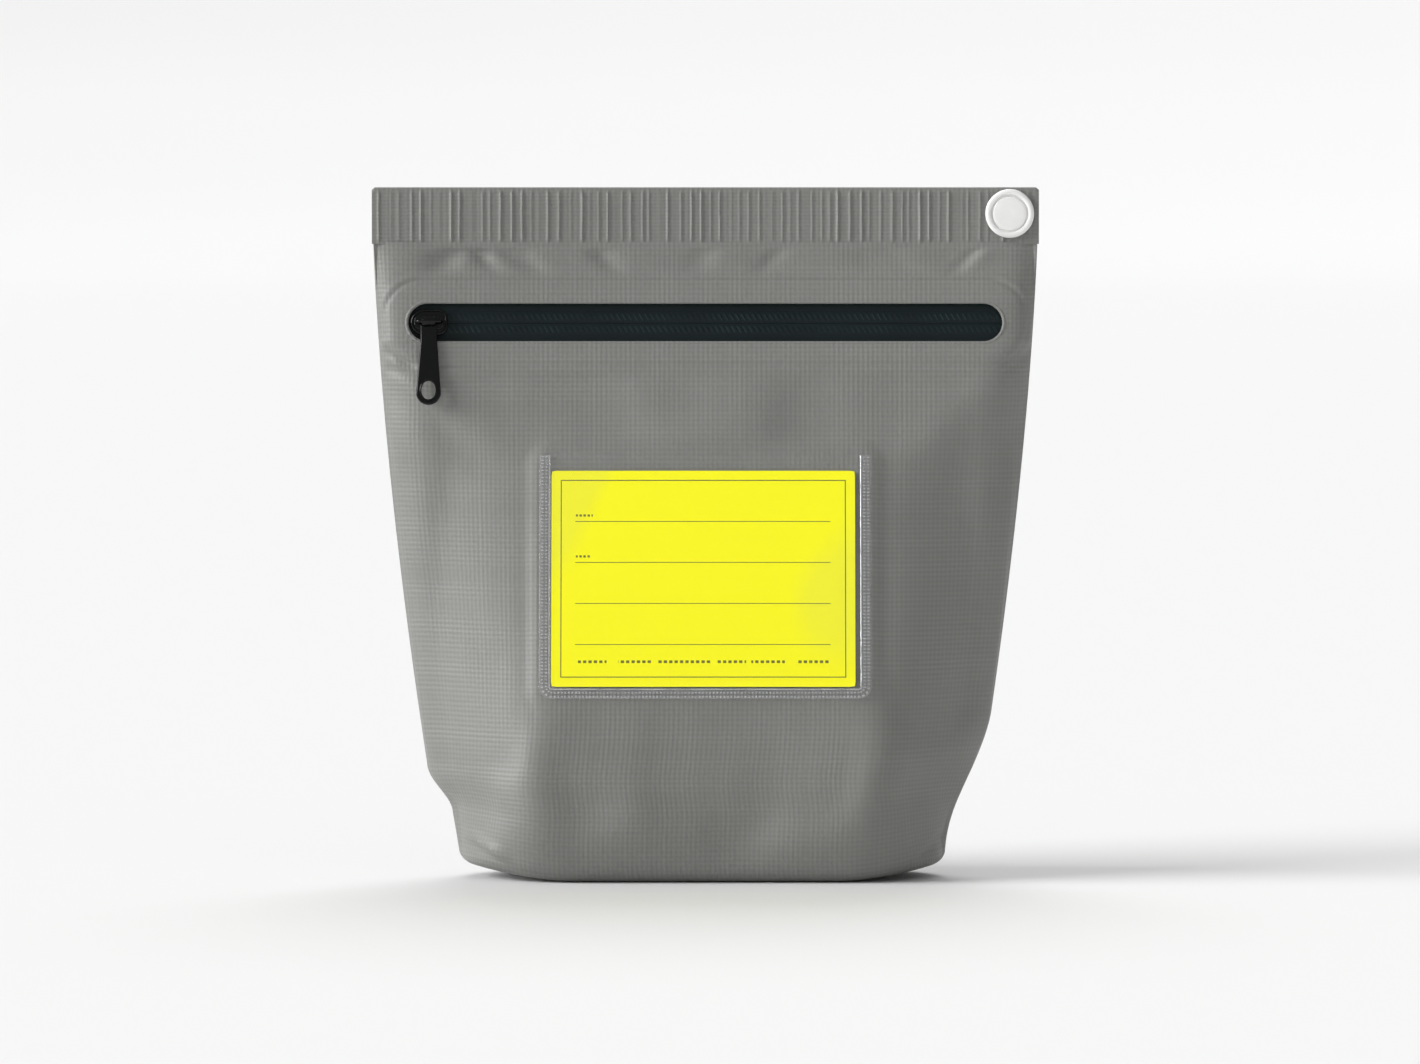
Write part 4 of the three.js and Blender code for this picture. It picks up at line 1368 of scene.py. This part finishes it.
def pocket_sheet(name):
    """The pocket's clear window: flat at its welded border, lifted and rippled over the card."""
    step = 1.25 * MM
    columns = int((POCKET_HIGH[0] - POCKET_LOW[0]) / step)
    rows = int((POCKET_HIGH[1] - POCKET_LOW[1]) / step)
    x, up = np.meshgrid(np.linspace(POCKET_LOW[0], POCKET_HIGH[0], columns),
                        np.linspace(POCKET_LOW[1], POCKET_HIGH[1], rows))
    middle = (POCKET_LOW[1] + POCKET_HIGH[1]) / 2 + 10 * MM
    inside = -sdf_round_rect(x, up - middle, POCKET_HIGH[0],
                             (POCKET_HIGH[1] - POCKET_LOW[1]) / 2 + 10 * MM, 3 * MM)
    lift = smooth_step(2.4 * MM, 4.2 * MM, inside)
    draw = random.Random(17)
    wave = np.zeros(x.shape)
    for _ in range(7):
        centre_x, centre_up = draw.uniform(-45, 45) * MM, middle + draw.uniform(-45, 30) * MM
        lean = draw.uniform(-1.2, 1.2)
        across = (x - centre_x) + lean * (up - centre_up)
        wave += draw.uniform(-0.16, 0.16) * MM * gaussian(across, 0, draw.uniform(6, 16) * MM)
    open_edge = smooth_step(POCKET_HIGH[1] - 12 * MM, POCKET_HIGH[1], up)
    wave += 0.14 * MM * open_edge * np.sin(x * 90 + 0.6)
    out = POCKET_SKIN + lift * (1.0 * MM + np.clip(wave, -0.22 * MM, 0.25 * MM))
    points = grid_on_front(x, up, out)
    made = mesh_object(name, points, grid_faces(rows, columns), np.stack([x, up], axis=2))
    return set_smooth(solidify(made, 0.28 * MM))


def pocket_weld(name):
    """The knurled weld along the pocket's two sides and bottom."""
    width = 3.1 * MM
    radius = 2.4 * MM
    left, right = POCKET_LOW[0] + width / 2, POCKET_HIGH[0] - width / 2
    bottom, top = POCKET_LOW[1] + width / 2, POCKET_HIGH[1] - 0.4 * MM
    line = ([(left, top)] + arc(left + radius, bottom + radius, radius, 180, 270, 8)
            + arc(right - radius, bottom + radius, radius, 270, 360, 8) + [(right, top)])
    spots = np.array(line)
    along = np.concatenate([[0], np.cumsum(np.hypot(*np.diff(spots, axis=0).T))])
    count = int(along[-1] / (0.26 * MM))
    wanted = np.linspace(0, along[-1], count)
    path = np.stack([np.interp(wanted, along, column) for column in spots.T], axis=1)
    tangent = np.gradient(path, axis=0)
    tangent /= np.linalg.norm(tangent, axis=1, keepdims=True)
    sideways = np.stack([tangent[:, 1], -tangent[:, 0]], axis=1)
    offsets = np.linspace(-width / 2, width / 2, 25)
    rows, cloth = [], []
    for offset in offsets:
        share = 2 * offset / width
        bead = gaussian(share, -0.89, 0.12)
        profile = POCKET_SKIN + 0.14 * MM * (1 - share ** 6) + 0.22 * MM * bead
        from_row = abs(offset - WELD_ROWS_MIDDLE) - WELD_ROW_APART
        knurl = 0.24 * MM * np.maximum(0, np.sin(wanted * 2 * math.pi / KNURL_PITCH))
        knurl = knurl * gaussian(from_row, 0, 0.31 * MM)
        spot = path + sideways * offset
        rows.append([on_front(s[0], s[1], profile + k) for s, k in zip(spot, knurl)])
        cloth.append(np.stack([wanted, np.full(count, offset)], axis=1))
    made = mesh_object(name, rows, grid_faces(len(offsets), count), np.array(cloth))
    return solidify(made, 0.2 * MM)


def index_card(name):
    """The card, bowed a little, with its width and height for the print on it."""
    low, high = front_span("index_card")
    width, height = high[0] - low[0], high[1] - low[1]
    columns, rows = 60, 44
    x, up = np.meshgrid(np.linspace(0, width, columns), np.linspace(0, height, rows))
    bow = 0.12 * MM * np.sin(x / width * math.pi) + 0.05 * MM * np.sin(up / height * math.pi)
    corner = sdf_round_rect(x - width / 2, up - height / 2, width / 2, height / 2, 0.7 * MM)
    pull = np.maximum(corner, 0)
    x_in = x - np.sign(x - width / 2) * pull * 0.7
    up_in = up - np.sign(up - height / 2) * pull * 0.7
    points = grid_on_front(x_in + low[0], up_in + low[1], low[2] + CARD_SHEET + bow)
    made = mesh_object(name, points, grid_faces(rows, columns), np.stack([x_in, up_in], axis=2))
    return set_smooth(solidify(made, CARD_SHEET)), width, height


# ---- snap and strap


def skin(*rows):
    """A turned piece's skin. Each row is a radius and a place in Y: a start plus millimetres."""
    return [(radius + more * MM, y + further * MM) for radius, more, y, further in rows]


def snap_pieces():
    """The four parts of the press snap, each turned about the same line through the band."""
    face, tip = SNAP_LOW.y, SNAP_HIGH.y
    seat = -BAND_HALF - 0.28 * MM
    rim, step = (SNAP_HIGH.x - SNAP_LOW.x) / 2, 5.3 * MM
    dome = skin(
        (0, 0, face, 0.02), (0, 2.2, face, 0.03), (0, 4.2, face, 0.09), (step, -0.3, face, 0.16),
        (step, -0.1, face, 0.7), (step, 0.15, face, 0.7), (step, 0.4, face, 0.14),
        (step, 1.0, face, 0), (rim, -0.55, face, 0.1), (rim, -0.12, face, 0.45),
        (rim, 0, face, 0.85), (rim, -0.3, seat, 0), (0, 1.5, seat, 0), (0, 1.5, tip, 0),
        (0, 0, tip, 0))

    foot, top = (corner.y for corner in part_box("snap_stud"))
    stud = skin(
        (0, 1.8, foot, 0), (0, 5.3, foot, 0), (0, 5.5, foot, 0.3), (0, 5.3, foot, 0.9),
        (0, 3.1, foot, 1.0), (0, 2.35, foot, 1.3), (0, 2.35, foot, 1.7), (0, 2.7, foot, 2.1),
        (0, 2.55, top, -0.15), (0, 2.1, top, 0), (0, 0, top, 0), (0, 0, foot, 1.3),
        (0, 1.8, foot, 1.3), (0, 1.8, foot, 0))

    foot, top = (corner.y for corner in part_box("snap_socket"))
    socket = skin(
        (0, 3.1, foot, 0), (0, 5.1, foot, 0), (0, 5.5, foot, 0.4), (0, 5.5, top, -0.1),
        (0, 5.3, top, 0), (0, 1.8, top, 0), (0, 1.8, top, -0.3), (0, 3.1, top, -0.3),
        (0, 3.1, foot, 0))

    low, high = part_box("strap_cap")
    foot, top, rim = low.y, high.y, (high.x - low.x) / 2
    seat = top - 1.4 * MM
    cap = skin(
        (0, 0, foot, 0), (0, 1.5, foot, 0), (0, 1.5, seat, 0), (rim, -0.3, seat, 0),
        (rim, 0, seat, 0.5), (rim, -0.3, top, -0.4), (rim, -1.1, top, -0.08),
        (rim, -1.8, top, -0.22), (rim, -2.4, top, -0.06), (0, 0, top, 0))

    centre = Vector((SNAP_X, 0, SNAP_Z))
    for node, body, line, rounding in (("snap_cap", "pouch", dome, 0.18),
                                       ("snap_stud", "pouch", stud, 0.15),
                                       ("snap_socket", "strap", socket, 0.15),
                                       ("strap_cap", "strap", cap, 0.2)):
        yield turned(node + "_cast", fillet(line, rounding * MM, 3), centre), body, node


STRAP_BOW = 5 * MM
STRAP_TO_CAP = 2.45 * MM  # the strap's mid line to the outer face of its cap


def strap_sheet(name):
    """The hang strap: a folded strip of the same sheet, with a welded edge along each side."""
    low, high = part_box("hang_strap")
    middles = strap_line(low.z + 0.3 * MM, high.z - 0.3 * MM)
    half, columns = (high.x - low.x) / 2, np.linspace(-1, 1, 25)
    rows, cloth, travelled = [], [], 0.0
    for index, (z, y) in enumerate(middles):
        if index:
            travelled += math.hypot(z - middles[index - 1][0], y - middles[index - 1][1])
        end = min(z - low.z, high.z - z) / (3.0 * MM)
        narrow = 1 - 0.12 * max(0.0, 1 - end) ** 2
        line = []
        for c in columns:
            ridge = 0.14 * MM * gaussian(abs(c), 0.8, 0.07)
            stitch = 0.1 * MM * gaussian(abs(c), 0.8, 0.05) * math.sin(travelled * 2600)
            line.append((SNAP_X + c * half * narrow, y + 0.55 * MM + ridge + stitch, z))
        # Turned round, so that the strap's outer face is on the +Y side.
        rows.append(line[::-1])
        cloth.append([(c * half, travelled) for c in columns][::-1])
    made = mesh_object(name, rows, grid_faces(len(rows), len(columns)), np.array(cloth))
    return solidify(made, 1.2 * MM)


def strap_line(low, high):
    """(z, y) points up the strap's mid line: a bow from its foot, then flat behind the band."""
    hinge = joint("strap_swing")["pos_m"]
    rise = BAND_BOTTOM - hinge[2]
    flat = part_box("strap_cap")[1].y - STRAP_TO_CAP
    a, b = Vector((hinge[1], hinge[2])), Vector((hinge[1] + 2 * STRAP_BOW, hinge[2] + rise / 3))
    c, d = Vector((flat, BAND_BOTTOM - rise / 3)), Vector((flat, BAND_BOTTOM))
    points = []
    for t in np.linspace(0, 1, 41):
        spot = (a * (1 - t) ** 3 + b * 3 * t * (1 - t) ** 2 + c * 3 * t ** 2 * (1 - t) + d * t ** 3)
        points.append((spot[1], spot[0]))
    points += [(z, flat) for z in np.linspace(BAND_BOTTOM, high, 14)[1:]]
    return [(max(z, low), y) for z, y in points]


# ---- operators


class POUCH_OT_walls(bpy.types.Operator):
    """Build the outer sheets: front with its zip window, back and foot"""

    bl_idname = "pouch.walls"
    bl_label = "Walls and foot"

    def execute(self, context):
        sizes = context.scene.pouch_sizes
        tarp = finish_of("tarp")
        dress(wall("front_sheet", -1, sizes), "pouch", "tarp", tarp, "front_panel")
        dress(wall("back_sheet", 1, sizes), "pouch", "tarp", tarp, "back_panel")
        foot = tray("foot_sheet", 0.0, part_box("base_panel")[1].z, sizes.sheet + 0.05 * MM,
                    EDGE_RADIUS, sizes.sheet)
        dress(foot, "pouch", "tarp", tarp, "base_panel")
        return {"FINISHED"}


class POUCH_OT_lining(bpy.types.Operator):
    """Build the inner fire-resistant cloth"""

    bl_idname = "pouch.lining"
    bl_label = "Lining"

    def execute(self, context):
        sizes = context.scene.pouch_sizes
        cloth = finish_of("lining")
        dress(lining_sheet("inner_front", -1, sizes), "pouch", "lining", cloth, "lining_front")
        dress(lining_sheet("inner_back", 1, sizes), "pouch", "lining", cloth, "lining_back")
        low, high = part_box("lining_base")
        foot = tray("inner_foot", low.z, high.z, 2 * sizes.sheet + 0.2 * MM, 3 * MM, sizes.lining)
        dress(foot, "pouch", "lining", cloth, "lining_base")
        return {"FINISHED"}


class POUCH_OT_band(bpy.types.Operator):
    """Build the ribbed band along the top edge"""

    bl_idname = "pouch.band"
    bl_label = "Top band"

    def execute(self, context):
        made = band("ribbed_band", context.scene.pouch_sizes)
        dress(made, "pouch", "tarp", finish_of("tarp"), "top_band")
        return {"FINISHED"}


class POUCH_OT_zip(bpy.types.Operator):
    """Build the zip's tapes and coils, and the lip of its window"""

    bl_idname = "pouch.zip"
    bl_label = "Zip"

    def execute(self, context):
        sizes = context.scene.pouch_sizes
        for part, sign in (("upper", 1), ("lower", -1)):
            tape, coil = "zip_tape_" + part, "zip_coil_" + part
            dress(zip_tape("tape_" + part, sign), "pouch", "zip_tape", finish_of("tape"), tape)
            dress(zip_coil(coil, sign, sizes), "pouch", "zip_coil", finish_of("coil"), coil)
        dress(window_lip("window_lip"), "pouch", "tarp", finish_of("tarp"))
        for node in ("zip_top_stop_upper", "zip_top_stop_lower", "zip_bottom_stop"):
            slots = frame["nodes"][node].data.materials
            slots.clear()
            slots.append(finish_of("stop"))
        return {"FINISHED"}


class POUCH_OT_slider(bpy.types.Operator):
    """Build the slider, its crown and the puller"""

    bl_idname = "pouch.slider"
    bl_label = "Slider and puller"

    def execute(self, context):
        enamel = finish_of("slider")
        dress(slider_parts(), "slider", "slider_metal", enamel, "slider_body")
        dress(crown_parts(), "slider", "slider_metal", enamel, "slider_crown")
        dress(puller_parts(), "puller", "slider_metal", enamel, "slider_puller")
        return {"FINISHED"}


class POUCH_OT_pocket(bpy.types.Operator):
    """Build the clear card pocket and its card"""

    bl_idname = "pouch.pocket"
    bl_label = "Card pocket"

    def execute(self, context):
        dress(pocket_sheet("pocket_window"), "pouch", "clear_vinyl", finish_of("vinyl"),
              "card_pocket")
        dress(pocket_weld("pocket_weld"), "pouch", "clear_vinyl", finish_of("weld"))
        card, width, height = index_card("printed_card")
        dress(card, "card", "card", card_finish(context.scene.pouch_colours, width, height),
              "index_card")
        return {"FINISHED"}


class POUCH_OT_snap(bpy.types.Operator):
    """Build the press snap's four parts"""

    bl_idname = "pouch.snap"
    bl_label = "Press snap"

    def execute(self, context):
        for made, body, node in snap_pieces():
            dress(made, body, "snap", finish_of("snap"), node)
        return {"FINISHED"}


class POUCH_OT_strap(bpy.types.Operator):
    """Build the hang strap behind the band"""

    bl_idname = "pouch.strap"
    bl_label = "Hang strap"

    def execute(self, context):
        made = strap_sheet("strap_sheet")
        dress(made, "strap", "tarp", finish_of("tarp"), "hang_strap")
        return {"FINISHED"}


def soft_sun(name, towards, strength, spread_degrees):
    """A broad soft light from one direction."""
    light = bpy.data.lights.new(name, "SUN")
    light.energy = strength
    light.angle = math.radians(spread_degrees)
    placed(name, light).rotation_euler = Vector(towards).to_track_quat("Z", "Y").to_euler()


class POUCH_OT_stage(bpy.types.Operator):
    """Lay the pale floor and backdrop, and set the lights and the camera"""

    bl_idname = "pouch.stage"
    bl_label = "Stage"

    def execute(self, context):
        scene = context.scene
        stage = scene.pouch_stage
        flat, curve, wall_height = 16.0, 4.0, 1.7
        profile = [(0.0, 0.0), (1.0, 0.0), (4.0, 0.0), (flat, 0.0)]
        profile += [(flat + curve * math.sin(a), curve * 0.3 * (1 - math.cos(a)))
                    for a in np.linspace(0.15, math.pi / 2, 10)]
        profile.append((flat + curve, wall_height))
        turns = np.linspace(0, 2 * math.pi, 96, endpoint=False)
        rows = [[(r * math.cos(a), r * math.sin(a), z) for a in turns] for r, z in profile]
        sweep = mesh_object("sweep", rows, grid_faces(len(profile), len(turns), wrap=True))
        weld(sweep)
        paper = Finish("pale_sweep", Roughness=0.9, Specular_IOR_Level=0.1, Emission_Strength=1.0)
        fibre = paper.noise(40.0, 2.0)
        height = paper.node("MapRange", {"interpolation_type": "SMOOTHSTEP"},
                            {0: paper.axes()[2], 1: 0.0, 2: 0.5})
        grey, glow = stage.floor_grey, stage.backdrop_glow
        floor_tone = paper.mix(fibre, (grey * 0.995,) * 3 + (1,), (grey,) * 3 + (1,))
        paper.feed(Base_Color=paper.mix(height, floor_tone, (0.3, 0.3, 0.3, 1)),
                   Emission_Color=paper.mix(height, (0, 0, 0, 1), (glow, glow, glow, 1)))
        sweep.data.materials.append(paper.material)

        world = bpy.data.worlds.new("soft_room")
        world.use_nodes = True
        air = world.node_tree.nodes["Background"].inputs
        air["Color"].default_value = (1, 1, 1, 1)
        air["Strength"].default_value = stage.room
        scene.world = world
        soft_sun("key", (-0.9, -0.24, 0.4), stage.key, 35)
        soft_sun("overhead", (0.05, 0.8, 1.0), stage.overhead, 40)

        camera = bpy.data.cameras.new("camera")
        camera.lens = stage.lens
        camera.sensor_width = 36
        made = placed("camera", camera)
        aim = Vector((1.4 * MM, 0, 103.5 * MM))
        away = Vector((0, -math.cos(stage.elevation), math.sin(stage.elevation)))
        made.location = aim + away * stage.distance
        made.rotation_euler = (-away).to_track_quat("-Z", "Y").to_euler()
        scene.camera = made
        scene.view_settings.view_transform = "Standard"
        return {"FINISHED"}


BUILD_ORDER = (
    POUCH_OT_stage, POUCH_OT_walls, POUCH_OT_lining, POUCH_OT_band, POUCH_OT_zip,
    POUCH_OT_slider, POUCH_OT_pocket, POUCH_OT_snap, POUCH_OT_strap,
)


class POUCH_PT_panel(bpy.types.Panel):
    """Lists the pouch's pieces"""

    bl_label = "Zip pouch"
    bl_idname = "POUCH_PT_panel"
    bl_space_type = "VIEW_3D"
    bl_region_type = "UI"
    bl_category = "Pouch"

    def draw(self, context):
        for group in settings():
            box = self.layout.box()
            for name in group.bl_rna.properties.keys():
                if name not in ("rna_type", "name"):
                    box.prop(group, name)
        for operator in BUILD_ORDER:
            self.layout.operator(operator.bl_idname)


CLASSES = (PouchSizes, PouchColours, PouchStage, *BUILD_ORDER, POUCH_PT_panel)


def register():
    for cls in CLASSES:
        bpy.utils.register_class(cls)
    bpy.types.Scene.pouch_sizes = PointerProperty(type=PouchSizes)
    bpy.types.Scene.pouch_colours = PointerProperty(type=PouchColours)
    bpy.types.Scene.pouch_stage = PointerProperty(type=PouchStage)


def unregister():
    del bpy.types.Scene.pouch_stage
    del bpy.types.Scene.pouch_colours
    del bpy.types.Scene.pouch_sizes
    for cls in reversed(CLASSES):
        bpy.utils.unregister_class(cls)


def main():
    register()
    for operator in BUILD_ORDER:
        group, name = operator.bl_idname.split(".")
        getattr(getattr(bpy.ops, group), name)()


if __name__ == "__main__":
    main()
